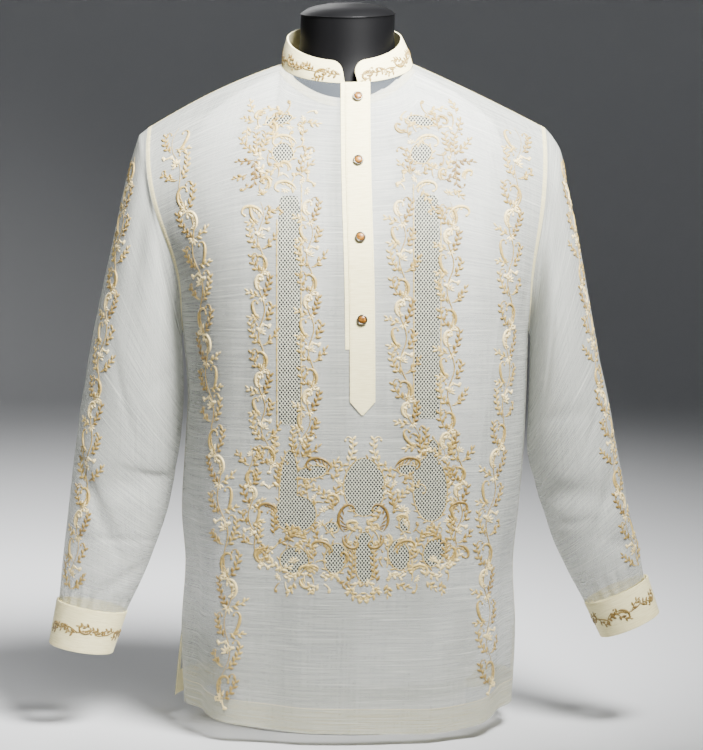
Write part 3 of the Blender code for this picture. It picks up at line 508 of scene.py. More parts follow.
def faced(ways, row, column, wanted):
    """The ways themselves, or turned round where one of them doesn't face the wanted side."""
    if ways[row][column].dot(Vector(wanted)) < 0:
        return [[-way for way in line] for line in ways]
    return ways


def moved(grid, ways, distance):
    return [[point + way * distance for point, way in zip(line, directions)]
            for line, directions in zip(grid, ways)]


def pace(points):
    """Distances travelled along a line of points."""
    travelled = [0.0]
    for start, end in zip(points, points[1:]):
        travelled.append(travelled[-1] + (end - start).length)
    return travelled


def walk(points, ways, distances):
    """Points and directions at the given distances along a line."""
    travelled = pace(points)
    result = []
    for distance in distances:
        low = min(max(bisect.bisect_right(travelled, distance) - 1, 0), len(points) - 2)
        span = travelled[low + 1] - travelled[low]
        share = (distance - travelled[low]) / span if span > 0 else 0.0
        result.append((mix(points[low], points[low + 1], share),
                       mix(ways[low], ways[low + 1], share).normalized()))
    return result


def cloth_lengths(grid, wrap):
    """Where each point lies on the flat cloth, in metres: across from the middle, and up."""
    middle = len(grid[0]) // 2
    up = pace([line[middle] for line in grid])
    across = []
    for line in grid:
        travelled = pace(line + line[:1] if wrap else line)
        across.append([distance - travelled[middle] for distance in travelled])
    return across, up


def link(name, mesh, finish):
    made = bpy.data.objects.new(name, mesh)
    mesh.materials.append(finish_of(finish))
    bpy.context.scene.collection.objects.link(made)
    return made


def add_shell(name, outer, ways, thickness, finish, wrap=False, skipped=(), marks=None):
    """A thin closed shell below a grid, with its flat cloth's lengths as the UV map and
    distances that its material reads (marks: attribute name and function of a point)."""
    inner = moved(outer, ways, -thickness)
    rows, columns = len(outer), len(outer[0])
    span = columns if wrap else columns - 1
    cells = {(r, c) for r in range(rows - 1) for c in range(span)} - set(skipped)
    points = [point for grid in (outer, inner) for line in grid for point in line]
    across, up = cloth_lengths(outer, wrap)
    layer = rows * columns
    faces, lengths = [], []

    def corner(r, c, depth=0):
        return depth * layer + r * columns + c % columns

    def spot(r, c):
        return across[r][c], up[r]

    for r, c in sorted(cells):
        ring = [(r, c), (r, c + 1), (r + 1, c + 1), (r + 1, c)]
        faces.append([corner(*at) for at in ring])
        lengths += [spot(*at) for at in ring]
        faces.append([corner(*at, 1) for at in reversed(ring)])
        lengths += [spot(*at) for at in reversed(ring)]
        sides = [((r - 1, c), ring[0], ring[1]), ((r, c + 1), ring[1], ring[2]),
                 ((r + 1, c), ring[2], ring[3]), ((r, c - 1), ring[3], ring[0])]
        for (row, column), first, second in sides:
            if (row, column % columns if wrap else column) not in cells:
                faces.append([corner(*second), corner(*first),
                              corner(*first, 1), corner(*second, 1)])
                lengths += [spot(*second), spot(*first), spot(*first), spot(*second)]
    mesh = bpy.data.meshes.new(name)
    mesh.from_pydata(points, [], faces)
    layout = mesh.uv_layers.new(name="flat_cloth")
    layout.data.foreach_set("uv", [value for pair in lengths for value in pair])
    for mark, distance in (marks or {}).items():
        values = [distance(point) for line in outer for point in line]
        mesh.attributes.new(mark, "FLOAT", "POINT").data.foreach_set("value", values * 2)
    drop_loose(mesh)
    mesh.shade_smooth()
    mesh.set_sharp_from_angle(angle=math.radians(SHARP))
    mesh.validate()
    return link(name, mesh, finish)


def drop_loose(mesh):
    """Takes out points that no face uses."""
    work = bmesh.new()
    work.from_mesh(mesh)
    loose = [vertex for vertex in work.verts if not vertex.link_faces]
    bmesh.ops.delete(work, geom=loose, context="VERTS")
    bmesh.ops.recalc_face_normals(work, faces=work.faces)
    work.to_mesh(mesh)
    work.free()


def dress(piece, node):
    """Puts a piece in its node's place: gives it to the shirt's body and hides the node's solid,
    if it has one.
    """
    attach(piece, BODY_NAME)
    if node:
        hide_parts(node)


# ---------------------------------------------------------------- the shirt's pieces as grids
def make_panel(side):
    """The front's or back's outer points and outward directions, row by row from the hem."""
    ways_across = panel_ways(side)
    grid = [[panel_point(way, row, side) for way in ways_across]
            for row in LOW_ROWS + HIGH_ROWS]
    out = -1 if side == "front" else 1
    outward = faced(grid_ways(grid), LOW_STEPS // 2, len(grid[0]) // 2, (0, out, 0))
    for line in outward:
        for c in (0, -1):
            line[c] = Vector((line[c].x, out * max(line[c].y * out, 0.0),
                              line[c].z)).normalized()
    return grid, outward


def sleeve_push(side, share, angle):
    total = 0.0
    for crease in SLEEVE_CREASES[side] + FINE_CREASES[side]:
        along = (share - crease.share) / crease.length
        if abs(along) < 3:
            off = math.degrees(angle) - crease.angle - crease.slant * along * CREASE_SLANT
            off = (off + 180) % 360 - 180
            total += crease.depth * math.exp(-along ** 2 - (off / crease.width) ** 2)
    near = smooth_step((share - 1 + GATHER_REACH) / GATHER_REACH)
    return total + near * GATHER_DEPTH * (1 + math.sin(GATHERS * angle + 0.8 * math.sin(angle)))


def sleeve_outline(side, share):
    cuff = CUFFS[side]
    outer = mix(SLEEVE_TOP[0], cuff.top_outer[1], share)
    inner = mix(SLEEVE_TOP[1], cuff.top_inner[1], share)
    return (Vector((SLEEVE_AT[side, "outer"](outer), 0, outer)),
            Vector((SLEEVE_AT[side, "inner"](inner), 0, inner)))


def sleeve_ring(side, share, angles):
    outer, inner = sleeve_outline(side, share)
    centre, arm = (outer + inner) / 2, (outer - inner) / 2
    depth, forward = STATION_AT["depth"](share), STATION_AT["forward"](share)
    sign = -1 if side == "left" else 1
    ring = []
    for angle in angles:
        push = 1 - sleeve_push(side, share, angle) / depth
        point = centre + arm * math.sin(angle) * push
        ring.append(Vector((sign * point.x, -forward - depth * math.cos(angle) * push,
                            point.z + HEM_HEIGHT)))
    return ring


def make_sleeve(side, panels):
    """A sleeve's outer points, ring by ring from the armhole down, and their directions."""
    column = 0 if side == "left" else -1
    sign = -1 if side == "left" else 1
    front = [line[column] for line in panels["front"][0][LOW_STEPS:]]
    back = [line[column] for line in panels["back"][0][LOW_STEPS:]]
    seam = [(front[0] + back[0]) / 2] + front[1:-1] + [(front[-1] + back[-1]) / 2]
    seam = [point + Vector((sign * SEAM_GAP, 0, 0)) for point in seam + back[1:-1][::-1]]
    up = [math.pi * step / HIGH_STEPS - QUARTER_TURN for step in range(HIGH_STEPS + 1)]
    angles = up + [math.pi - angle for angle in up[1:-1][::-1]]
    first = sleeve_ring(side, 0.0, angles)
    grid = [seam]
    grid += [[mix(a, b, step / SEAM_RINGS) for a, b in zip(seam, first)]
             for step in range(1, SEAM_RINGS)]
    grid += [sleeve_ring(side, step / SLEEVE_STEPS, angles) for step in range(SLEEVE_STEPS + 1)]
    return grid, faced(grid_ways(grid, wrap=True), len(grid) // 2, HIGH_STEPS // 2, FRONTWARD)


def cuff_point(side, along, turn):
    cuff = CUFFS[side]
    sign = -1 if side == "left" else 1
    outer = Vector(mix(Vector(cuff.top_outer), Vector(cuff.bottom_outer), along))
    inner = Vector(mix(Vector(cuff.top_inner), Vector(cuff.bottom_inner), along))
    centre, arm = (outer + inner) / 2, (outer - inner) / 2
    depth = mix(cuff.depth_top, cuff.depth_bottom, along)
    grow = 1 + (turn / 360) * (STIFFENED + 2 * SEAM_GAP) / depth
    angle = math.radians(CUFF_START + turn)
    flat = centre + arm * math.cos(angle) * grow
    forward = SLEEVE_STATIONS[-1].forward + CUFF_FORWARD * along
    return Vector((sign * flat.x, depth * math.sin(angle) * grow - forward, flat.y + HEM_HEIGHT))


CUFF_COLUMNS, CUFF_ROWS = 110, 16
COLLAR_COLUMNS, COLLAR_ROWS = 150, 12
# the columns that round the corners, as shares of the corner's size away from the end
CUFF_CORNER_SHARES = (0.8, 0.6, 0.4, 0.25, 0.12, 0.04, 0.0)
COLLAR_CORNER_SHARES = (0.0, 0.02, 0.08, 0.18, 0.32, 0.5, 0.75)


def corner_cut(near, corner):
    """How much a rounded corner takes off an edge at a distance from its end."""
    if near >= corner:
        return 0.0
    return corner - math.sqrt(corner ** 2 - (corner - near) ** 2)


def make_cuff(side):
    sweep = 360 + CUFF_OVERLAP
    cuff = CUFFS[side]
    height = (Vector(cuff.top_outer) - Vector(cuff.bottom_outer)).length
    width = sweep / 360 * math.pi * (cuff.depth_top + cuff.depth_bottom)
    last = sweep * (1 - CUFF_CORNER / width)
    turns = [last * step / CUFF_COLUMNS for step in range(CUFF_COLUMNS + 1)]
    turns += [sweep * (1 - share * CUFF_CORNER / width) for share in CUFF_CORNER_SHARES]
    grid = []
    for step in range(CUFF_ROWS + 1):
        line = []
        for turn in turns:
            cut = corner_cut((sweep - turn) / sweep * width, CUFF_CORNER)
            along = mix(cut / height, 1.0, step / CUFF_ROWS)
            line.append(cuff_point(side, along + SEAM_GAP / height * (1 - along), turn))
        grid.append(line)
    outward = faced(grid_ways(grid), 1, 0, (-1 if side == "left" else 1, 0, 0))
    spot = min(range(len(turns)), key=lambda c: abs(turns[c] - sweep + CUFF_OVERLAP / 2))
    return grid, outward, (grid[CUFF_ROWS // 2][spot], outward[CUFF_ROWS // 2][spot])


def neckline(panels):
    """The neck edge's points from the placket's left edge, round the back, to its middle."""
    front, back = [panels[side][0][-1] for side in ("front", "back")]
    left = front[NECK_COLUMN:SIDE_STEPS + 1][::-1]
    right = front[SIDE_STEPS + 1 + PLACKET_STEPS:-NECK_COLUMN][::-1]
    return left + back[NECK_COLUMN + 1:-NECK_COLUMN - 1] + right


def neck_outward(point):
    return Vector((point.x, point.y * (NECK_HALF / NECK_DEPTH_FRONT) ** 2, 0)).normalized()


def make_collar(panels):
    base = neckline(panels)
    total = pace(base)[-1]
    corner = [share * COLLAR_CORNER for share in COLLAR_CORNER_SHARES]
    inside = [mix(COLLAR_CORNER, total - COLLAR_CORNER, step / COLLAR_COLUMNS)
              for step in range(COLLAR_COLUMNS + 1)]
    distances = corner + inside + [total - distance for distance in corner[::-1]]
    line = [point for point, way in walk(base, base, distances)]
    grid = []
    for step in range(COLLAR_ROWS + 1):
        share = step / COLLAR_ROWS
        row = []
        for point, distance in zip(line, distances):
            rise = max(0.0, math.sin(math.pi * distance / total)) ** COLLAR_RISE
            height = mix(COLLAR_FRONT, COLLAR_SIDE, rise)
            height -= corner_cut(min(distance, total - distance), COLLAR_CORNER)
            bow = COLLAR_BOW * math.sin(math.pi * share)
            row.append(point + Vector((COLLAR_SET * share, 0, SEAM_GAP + height * share))
                       - neck_outward(point) * (COLLAR_LEAN * height * share - bow))
        grid.append(row)
    outward = [[neck_outward(point) for point in row] for row in grid]
    return grid, outward


PLACKET_COLUMNS = 14
POINT_ROWS = 5               # rows of the placket's pointed end
POINT_WIDTH = 0.08           # share of its width that the end starts with
LOW_PLACKET_ROWS = 16        # from the pointed end up to the underarm


def make_placket():
    """The placket's points on the front, from its pointed end to under the collar."""
    half = PLACKET_WIDTH / 2
    columns = [mix(-half, half, step / PLACKET_COLUMNS) for step in range(PLACKET_COLUMNS + 1)]
    grid = []
    for step in range(POINT_ROWS):
        height = PLACKET_TIP + PLACKET_POINT * step / POINT_ROWS
        wide = mix(POINT_WIDTH, 1.0, step / POINT_ROWS)
        grid.append([panel_point(Way("fixed", across * wide, None), (height, None), "front")
                     for across in columns])
    return grid + placket_rows(columns, PLACKET_TIP + PLACKET_POINT, LOW_PLACKET_ROWS)


def placket_rows(columns, foot, steps):
    """Points of the front on lines beside its middle, from a height up to the neckline."""
    low = [(mix(foot, UNDERARM, step / steps), None) for step in range(steps + 1)]
    return [[panel_point(Way("fixed", across, None), row, "front") for across in columns]
            for row in low + HIGH_ROWS]


# ---------------------------------------------------------------- materials
def add_node(tree, kind, inputs=None, **settings):
    """Adds a node with its settings; a socket given as an input is linked, a value is set."""
    made = tree.nodes.new(kind)
    for name, value in settings.items():
        setattr(made, name, value)
    for name, value in (inputs or {}).items():
        socket = made.inputs[name]
        if isinstance(value, bpy.types.NodeSocket):
            tree.links.new(value, socket)
        else:
            socket.default_value = value
    return made


def rgba(colour):
    return (*colour[:3], 1.0)


def start_material(name, values):
    """A new material and its tree, its shader's own sockets set."""
    made = bpy.data.materials.new(name)
    made.use_nodes = True
    for socket, value in values.items():
        made.node_tree.nodes["Principled BSDF"].inputs[socket].default_value = value
    return made, made.node_tree


def feed(tree, socket, output):
    tree.links.new(output, tree.nodes["Principled BSDF"].inputs[socket])


def ramp(tree, factor, stops):
    made = add_node(tree, "ShaderNodeValToRGB", {"Fac": factor})
    band = made.color_ramp
    while len(band.elements) < len(stops):
        band.elements.new(0.5)
    for element, (place, colour) in zip(band.elements, stops):
        element.position = place
        element.color = rgba(colour)
    return made.outputs["Color"]


def raise_by(tree, height, strength, distance):
    """Lets a texture raise the surface, its full height being the distance in metres."""
    relief = add_node(tree, "ShaderNodeBump", {
        "Height": height, "Strength": strength, "Distance": distance})
    feed(tree, "Normal", relief.outputs["Normal"])


def texture(tree, kind, inputs, **settings):
    """A noise or wave over the piece's own metres; its scale is per metre."""
    place = add_node(tree, "ShaderNodeTexCoord").outputs["Object"]
    return add_node(tree, "ShaderNodeTex" + kind, dict(inputs, Vector=place),
                    **settings).outputs["Fac"]


def fibre_streaks(tree, across, up, seed):
    """Noise drawn out along the cloth's threads: across and up are its scales per metre."""
    flat = add_node(tree, "ShaderNodeUVMap", uv_map="flat_cloth")
    place = add_node(tree, "ShaderNodeMapping", {
        "Vector": flat.outputs["UV"], "Scale": (across, up, 1.0),
        "Location": (seed, seed * 0.37, 0.0)})
    return add_node(tree, "ShaderNodeTexNoise", {
        "Vector": place.outputs["Vector"], "Scale": 1.0, "Detail": 2.0,
        "Roughness": 0.6}).outputs["Fac"]


def spread(tree, value, from_min, from_max, to_min, to_max):
    return add_node(tree, "ShaderNodeMapRange", {
        "Value": value, "From Min": from_min, "From Max": from_max,
        "To Min": to_min, "To Max": to_max}).outputs["Result"]


def combine(tree, operation, first, second, **settings):
    return add_node(tree, "ShaderNodeMath", {0: first, 1: second}, operation=operation,
                    **settings).outputs[0]


NECK_SHADE = 0.45            # opacity of the shade painted on the cloth below the collar, on each face
SEAM_COVER = 0.36            # of the light that each face of a felled seam's layers stops
HOLE_SHADE = 0.66            # opacity of the shade painted in the openwork's holes, on each face


def leaf_fibre_cloth(name, thin, thick, cover, with_openwork):
    """Woven pineapple-leaf and silk cloth, stiff and semi-sheer. Its threads are about 0.3 mm
    apart, too fine to draw, so what the eye gets is their unevenness: long slub threads
    across, a faint unevenness up the cloth, a dry sheen and what lies behind showing through."""
    made, tree = start_material(name, {"Roughness": 0.62, "Sheen Weight": 0.04,
                                       "Sheen Roughness": 0.4, "Specular IOR Level": 0.2})
    slubs = fibre_streaks(tree, 12.0, 640.0, 3.1)      # 83 mm long, 1.6 mm apart
    long_slubs = fibre_streaks(tree, 9.0, 300.0, 9.4)  # 110 mm long, 3.3 mm apart
    warp = fibre_streaks(tree, 300.0, 9.0, 7.7)        # 3.3 mm apart, 110 mm long
    woven = add_node(tree, "ShaderNodeMix", {0: 0.22, 2: slubs, 3: warp}).outputs[0]
    both = combine(tree, "ADD", woven, spread(tree, long_slubs, 0.62, 0.74, 0.0, 0.42))
    colour = ramp(tree, both, [(0.30, thin), (0.72, thick)])
    opacity = spread(tree, both, 0.35, 0.75, cover - 0.06, cover + 0.06)
    if with_openwork:
        # painted shade: below the collar, where the cloth lies free of the form before the dark
        # neck, and between the openwork's threads, the cloth gets a dark colour and more opacity
        # in place of the shade inside the shirt
        for mark, share, painted_shade_colour in (("over_neck", NECK_SHADE, "#4c5156"),
                                  ("openwork", HOLE_SHADE, "#191b1e")):
            depth = add_node(tree, "ShaderNodeAttribute", attribute_name=mark)
            inside = combine(tree, "GREATER_THAN", depth.outputs["Fac"], 0.0)
            opacity = add_node(tree, "ShaderNodeMix",
                               {0: inside, 2: opacity, 3: share}).outputs[0]
            colour = add_node(tree, "ShaderNodeMix", {0: inside, 6: colour, 7: linear(painted_shade_colour)},
                              data_type="RGBA").outputs[2]
    feed(tree, "Base Color", colour)
    feed(tree, "Alpha", opacity)
    raise_by(tree, both, 0.04, 0.0003)
    return made


def doubled_cloth(name, shadow, light):
    """The same cloth in two or three layers over an interlining: nearly opaque and creamier,
    with the threads' streaks as the only drawing on it."""
    made, tree = start_material(name, {"Roughness": 0.62, "Sheen Weight": 0.15,
                                       "Sheen Roughness": 0.4, "Specular IOR Level": 0.35})
    slubs = fibre_streaks(tree, 60.0, 700.0, 5.3)      # 17 mm long, 1.4 mm apart
    feed(tree, "Base Color", ramp(tree, slubs, [(0.30, shadow), (0.68, light)]))
    raise_by(tree, slubs, 0.4, 0.0003)
    return made


def satin_stitch(name, tones):
    """Mercerised embroidery thread laid side by side in satin stitch: each leaf shines along
    its threads. The stitches are 0.4 mm apart and are drawn at twice that to show."""
    made, tree = start_material(name, {"Roughness": 0.42, "Sheen Weight": 0.25,
                                       "Sheen Roughness": 0.3, "Specular IOR Level": 0.5})
    tone = add_node(tree, "ShaderNodeAttribute", attribute_name="tone").outputs["Fac"]
    uneven = texture(tree, "Noise", {"Scale": 260.0, "Detail": 1.0})       # 4 mm patches
    place = combine(tree, "ADD", tone, spread(tree, uneven, 0.3, 0.7, -0.10, 0.10),
                    use_clamp=True)
    feed(tree, "Base Color", ramp(tree, place, tones))
    raise_by(tree, texture(tree, "Wave", {"Scale": 400.0, "Distortion": 3.0, "Detail": 1.0},
                           bands_direction="DIAGONAL"), 0.35, 0.0002)
    return made


def cotton_jersey(name, shadow, light):
    """White cotton jersey stretched over padding: matt, its knit ribs 1.2 mm apart."""
    made, tree = start_material(name, {"Roughness": 0.85, "Sheen Weight": 0.2,
                                       "Sheen Roughness": 0.5})
    mottle = texture(tree, "Noise", {"Scale": 30.0, "Detail": 3.0})        # 30 mm patches
    feed(tree, "Base Color", ramp(tree, mottle, [(0.3, shadow), (0.7, light)]))
    raise_by(tree, texture(tree, "Wave", {"Scale": 130.0, "Distortion": 1.0}), 0.2, 0.0003)
    return made


def lacquer(name, colour, roughness):
    """Sprayed lacquer over wood, rubbed down: deep colour with a soft, slightly wavy sheen."""
    made, tree = start_material(name, {
        "Base Color": rgba(colour), "Roughness": roughness, "Coat Weight": 0.04,
        "Coat Roughness": 0.12, "Specular IOR Level": 0.12})
    raise_by(tree, texture(tree, "Noise", {"Scale": 45.0, "Detail": 1.0}),     # 22 mm swells
             0.08, 0.0004)
    return made


def tortoise_resin(name, dark, light):
    """Cast and polished resin in tortoiseshell brown: cloudy amber deep in the dome."""
    made, tree = start_material(name, {"Roughness": 0.36, "Coat Weight": 0.12,
                                       "Coat Roughness": 0.2, "IOR": 1.50})
    cloud = texture(tree, "Noise", {"Scale": 420.0, "Detail": 2.0,         # 2.4 mm clouds
                                    "Distortion": 0.8})
    feed(tree, "Base Color", ramp(tree, cloud, [(0.35, dark), (0.65, light)]))
    return made


def eggshell(name, colour):
    """Brushed eggshell paint on a wooden plinth: white, low gloss, slightly uneven."""
    made, tree = start_material(name, {"Base Color": rgba(colour), "Roughness": 0.42})
    raise_by(tree, texture(tree, "Noise", {"Scale": 90.0, "Detail": 2.0}),     # 11 mm marks
             0.1, 0.0003)
    return made


def even_finish(name, colour, values):
    """A material whose look is in its shader's own sockets alone."""
    return start_material(name, dict(values, **{"Base Color": rgba(colour)}))[0]


# ---------------------------------------------------------------- the sizes and colours to change
def colour_setting(name, description, code):
    return FloatVectorProperty(name=name, description=description, default=linear(code)[:3],
                               size=3, subtype="COLOR")


def length_setting(name, description, default, least, most):
    return FloatProperty(name=name, description=description, default=default, min=least,
                         max=most, unit="LENGTH")


def power_setting(name, description, default):
    return FloatProperty(name=name, description=description, default=default, min=0,
                         unit="POWER")


class ClothLooks(bpy.types.PropertyGroup):
    shell: length_setting("Cloth thickness", "Thickness of one layer of the sheer cloth",
                          0.00045, 0.0002, 0.001)
    cover: FloatProperty(
        name="Cover", description="Share of the light that each face of the sheer cloth stops",
        default=0.42, min=0.1, max=0.9, subtype="FACTOR")
    sheer_thin: colour_setting("Thin threads", "Colour of the sheer cloth where it is thin",
                               "#a8aba6")
    sheer_thick: colour_setting("Slub threads", "Colour of the sheer cloth's thick threads",
                                "#d3d5cb")
    doubled_shadow: colour_setting("Doubled cloth, dark",
                                   "Darker threads of the doubled cloth", "#ebdfa4")
    doubled_light: colour_setting("Doubled cloth, light",
                                  "Lighter threads of the doubled cloth", "#fff5c2")


class StitchLooks(bpy.types.PropertyGroup):
    ivory: colour_setting("Ivory thread", "Lightest embroidery thread", "#efd99c")
    straw: colour_setting("Straw thread", "Second embroidery thread", "#c5ab66")
    tan: colour_setting("Tan thread", "Third embroidery thread", "#9c8242")
    brown: colour_setting("Brown thread", "Darkest embroidery thread", "#6f5522")
    net_pitch: length_setting(
        "Net pitch", "Distance between the parallel threads of the openwork",
        0.0031, 0.0015, 0.006)
    net_thread: length_setting("Net thread", "Radius of the whipped threads of the openwork",
                               0.00058, 0.0002, 0.001)
    seed: IntProperty(
        name="Seed", description="Seed of the stitching's small unevenness", default=11, min=0)


class FormLooks(bpy.types.PropertyGroup):
    jersey: colour_setting("Jersey", "Colour of the covered torso", "#e6e7e5")
    lacquer: colour_setting("Lacquer", "Colour of the neck, cap and plinth", "#070708")


class StageLooks(bpy.types.PropertyGroup):
    floor: colour_setting("Floor", "Colour of the floor and the wall behind", "#d6d7d8")
    key: power_setting("Main light", "Strength of the main light", 58.0)
    fill: power_setting("Second light", "Strength of the light opposite it", 7.0)


MADE = {}                    # materials, grids and trees that later pieces need


def made_once(name, maker, *values):
    if name not in MADE:
        MADE[name] = maker(*values)
    return MADE[name]


def finish_of(name):
    """A material by its name, made once from the scene's settings."""
    scene = bpy.context.scene
    cloth, stitch, form = scene.barong_cloth, scene.barong_stitch, scene.barong_form
    sheer = cloth.sheer_thin, cloth.sheer_thick
    doubled = cloth.doubled_shadow, cloth.doubled_light
    maker, *values = {
        "sheer leaf-fibre cloth": (leaf_fibre_cloth, *sheer, cloth.cover, False),
        "sheer leaf-fibre cloth with openwork": (leaf_fibre_cloth, *sheer, cloth.cover, True),
        "felled leaf-fibre seam": (leaf_fibre_cloth, *doubled, SEAM_COVER, False),
        DOUBLED: (doubled_cloth, *doubled),
        "satin-stitched thread": (satin_stitch, [
            (0.0, stitch.ivory), (0.38, stitch.straw), (0.68, stitch.tan),
            (1.0, stitch.brown)]),
        "stretched cotton jersey": (
            cotton_jersey, [0.9 * value for value in form.jersey], form.jersey),
        "satin black lacquer": (lacquer, form.lacquer, 0.50),
        "cast tortoiseshell resin": (tortoise_resin, linear("#4c2c08"), linear("#b0741e")),
        "eggshell paint on wood": (eggshell, linear("#e6e6e2")),
        # blackened brass, worn smooth: a dark grey metal with soft highlights
        "blackened brass": (even_finish, linear("#77736a"),
                            {"Metallic": 1.0, "Roughness": 0.32}),
        # drawn threads bound with cotton: round, matt and lighter than the cloth, because
        # they lie free
        "whipped cotton net": (even_finish, linear("#c9c9b2"), {
            "Roughness": 0.6, "Sheen Weight": 0.2, "Sheen Roughness": 0.4}),
        # matt emulsion on the studio's boards, even and without gloss
        "matt studio paint": (even_finish, scene.barong_stage.floor, {
            "Roughness": 0.95, "Specular IOR Level": 0.2}),
    }[name]
    return made_once(name, maker, name, *values)


# ---------------------------------------------------------------- cloth pieces
DOUBLED = "doubled leaf-fibre cloth"
PANEL_THICKNESS = 0.00045
BAND_THICKNESS = 0.0006
EDGE_THICKNESS = 0.0003      # of seams and turned edges
HEM_SAG = 0.0002             # the turned hem's distance inside the panel
FACING_COLUMNS = 3           # of the turned edges beside the slits
SLASH_EDGE_GAP = 0.0002      # between the placket and the slash's turned edge
SLASH_EDGE_STEP = 0.0012
SLASH_EDGE_STEPS = 4
ROUNDING = 0.0004            # of the stiffened pieces' edges


def panels():
    return made_once("panels", lambda: {side: make_panel(side) for side in ("front", "back")})


def hem_row(grid):
    """The row in which the turned hem ends."""
    middle = len(grid[0]) // 2
    return next(r for r, line in enumerate(grid)
                if line[middle].z - grid[0][middle].z >= HEM_BAND)


def band_inside(grid, ways, name):
    """A turned hem and slit facings: the panel's own points, moved in, near its free edges."""
    rows = SLIT_ROW + 1
    below = moved(grid[:rows], ways[:rows], -PANEL_THICKNESS - HEM_SAG)
    skipped = {(r, c) for r in range(hem_row(grid), rows - 1)
               for c in range(FACING_COLUMNS, len(grid[0]) - 1 - FACING_COLUMNS)}
    return add_shell(name, below, ways[:rows], BAND_THICKNESS, DOUBLED, skipped=skipped)


class BARONG_OT_panels(bpy.types.Operator):
    """Makes the front and the back with their turned hems and slit facings"""
    bl_idname = "barong.panels"
    bl_label = "Front and back"

    def execute(self, context):
        shell = context.scene.barong_cloth.shell
        slash_row = round((PLACKET_TIP + PLACKET_POINT) / UNDERARM * LOW_STEPS)
        slash = SIDE_STEPS + PLACKET_STEPS
        for side, (grid, ways) in panels().items():
            skipped, finish, marks = set(), "sheer leaf-fibre cloth", None
            if side == "front":
                skipped = {(r, slash) for r in range(slash_row, len(grid) - 1)}
                # this material paints shade in the openwork's holes and below the collar
                finish += " with openwork"
                # the marks where the front's material paints shade: the openwork's holes, and the
                # cloth below the collar above the form's cover
                marks = {"openwork": openwork_depth, "over_neck": over_neck}
            cloth = add_shell(side + "_cloth", grid, ways, shell, finish, skipped=skipped,
                              marks=marks)
            dress(cloth, side)
            dress(band_inside(grid, ways, "hem_band_%s_cloth" % side),
                  "hem_band_" + side)
        return {"FINISHED"}


class BARONG_OT_sleeves(bpy.types.Operator):
    """Makes the two sleeves, gathered into their cuffs"""
    bl_idname = "barong.sleeves"
    bl_label = "Sleeves"

    def execute(self, context):
        shell = context.scene.barong_cloth.shell
        for side in ("left", "right"):
            grid, ways = make_sleeve(side, panels())
            MADE["sleeve_" + side] = grid, ways
            cloth = add_shell("sleeve_%s_cloth" % side, grid, ways, shell,
                              "sheer leaf-fibre cloth", wrap=True)
            dress(cloth, "sleeve_" + side)
        return {"FINISHED"}


class BARONG_OT_cuffs(bpy.types.Operator):
    """Makes the cuffs, stiffened strips that lap over behind the wrist"""
    bl_idname = "barong.cuffs"
    bl_label = "Cuffs"

    def execute(self, context):
        for side in ("left", "right"):
            grid, ways, seat = make_cuff(side)
            MADE["cuff_" + side] = grid, ways
            MADE["seat_" + side] = seat
            cuff = add_shell("cuff_%s_cloth" % side, grid, ways, STIFFENED, DOUBLED)
            round_edges(cuff)
            dress(cuff, "cuff_" + side)
        return {"FINISHED"}


class BARONG_OT_collar(bpy.types.Operator):
    """Makes the band collar with its rounded ends"""
    bl_idname = "barong.collar"
    bl_label = "Collar"

    def execute(self, context):
        grid, ways = make_collar(panels())
        MADE["collar"] = grid, ways
        collar = add_shell("collar_cloth", grid, ways, STIFFENED, DOUBLED)
        round_edges(collar)
        dress(collar, "collar")
        return {"FINISHED"}


class BARONG_OT_placket(bpy.types.Operator):
    """Makes the over placket with its pointed end, and the under placket beside it"""
    bl_idname = "barong.placket"
    bl_label = "Plackets"

    def execute(self, context):
        grid = make_placket()
        ways = faced(grid_ways(grid), POINT_ROWS, PLACKET_COLUMNS // 2, FRONTWARD)
        low = moved(grid, ways, SEAM_GAP + PLACKET_BAND)
        placket = add_shell("placket_cloth", low, ways, PLACKET_BAND, DOUBLED)
        round_edges(placket)
        MADE["placket"] = low, ways
        dress(placket, "placket")
        under = moved(grid, ways, -PANEL_THICKNESS - HEM_SAG)
        beneath = add_shell("placket_under_cloth", under, ways, PLACKET_BAND, DOUBLED)
        dress(beneath, "placket_under")
        steps = SLASH_EDGE_STEPS
        edge = -PLACKET_WIDTH / 2 - SLASH_EDGE_GAP - SLASH_EDGE_STEP * steps
        beside = placket_rows([edge + SLASH_EDGE_STEP * step for step in range(steps + 1)],
                              SLASH_EDGE_FOOT, steps)
        outward = faced(grid_ways(beside), steps, steps // 2, FRONTWARD)
        above = moved(beside, outward, SEAM_GAP + EDGE_THICKNESS)
        dress(add_shell("slash_edge_cloth", above, outward, EDGE_THICKNESS, DOUBLED),
              None)
        return {"FINISHED"}


def round_edges(piece):
    bevel = piece.modifiers.new("rounded edges", "BEVEL")
    bevel.width = ROUNDING
    bevel.segments = 2
    bevel.limit_method = "ANGLE"
    bevel.angle_limit = math.radians(SHARP)


# ---------------------------------------------------------------- seams
SEAM_STEPS = 4
SEAM_LIFT = 0.0003
SEAM_EDGE = 0.00005          # height of a seam's edges above the cloth


def edge_strip(lines, width):
    """A flat strip along the first points of lines that run in from an edge."""
    grid, ways = [], []
    steps = range(SEAM_STEPS + 1)
    crown = [SEAM_LIFT * (1 - ((step / SEAM_STEPS - 0.5) * 2) ** 4) + SEAM_EDGE
             for step in steps]
    for points, directions in lines:
        spots = walk(points, directions, [width * step / SEAM_STEPS for step in steps])
        grid.append([point + way * rise for (point, way), rise in zip(spots, crown)])
        ways.append([way for point, way in spots])
    return grid, ways


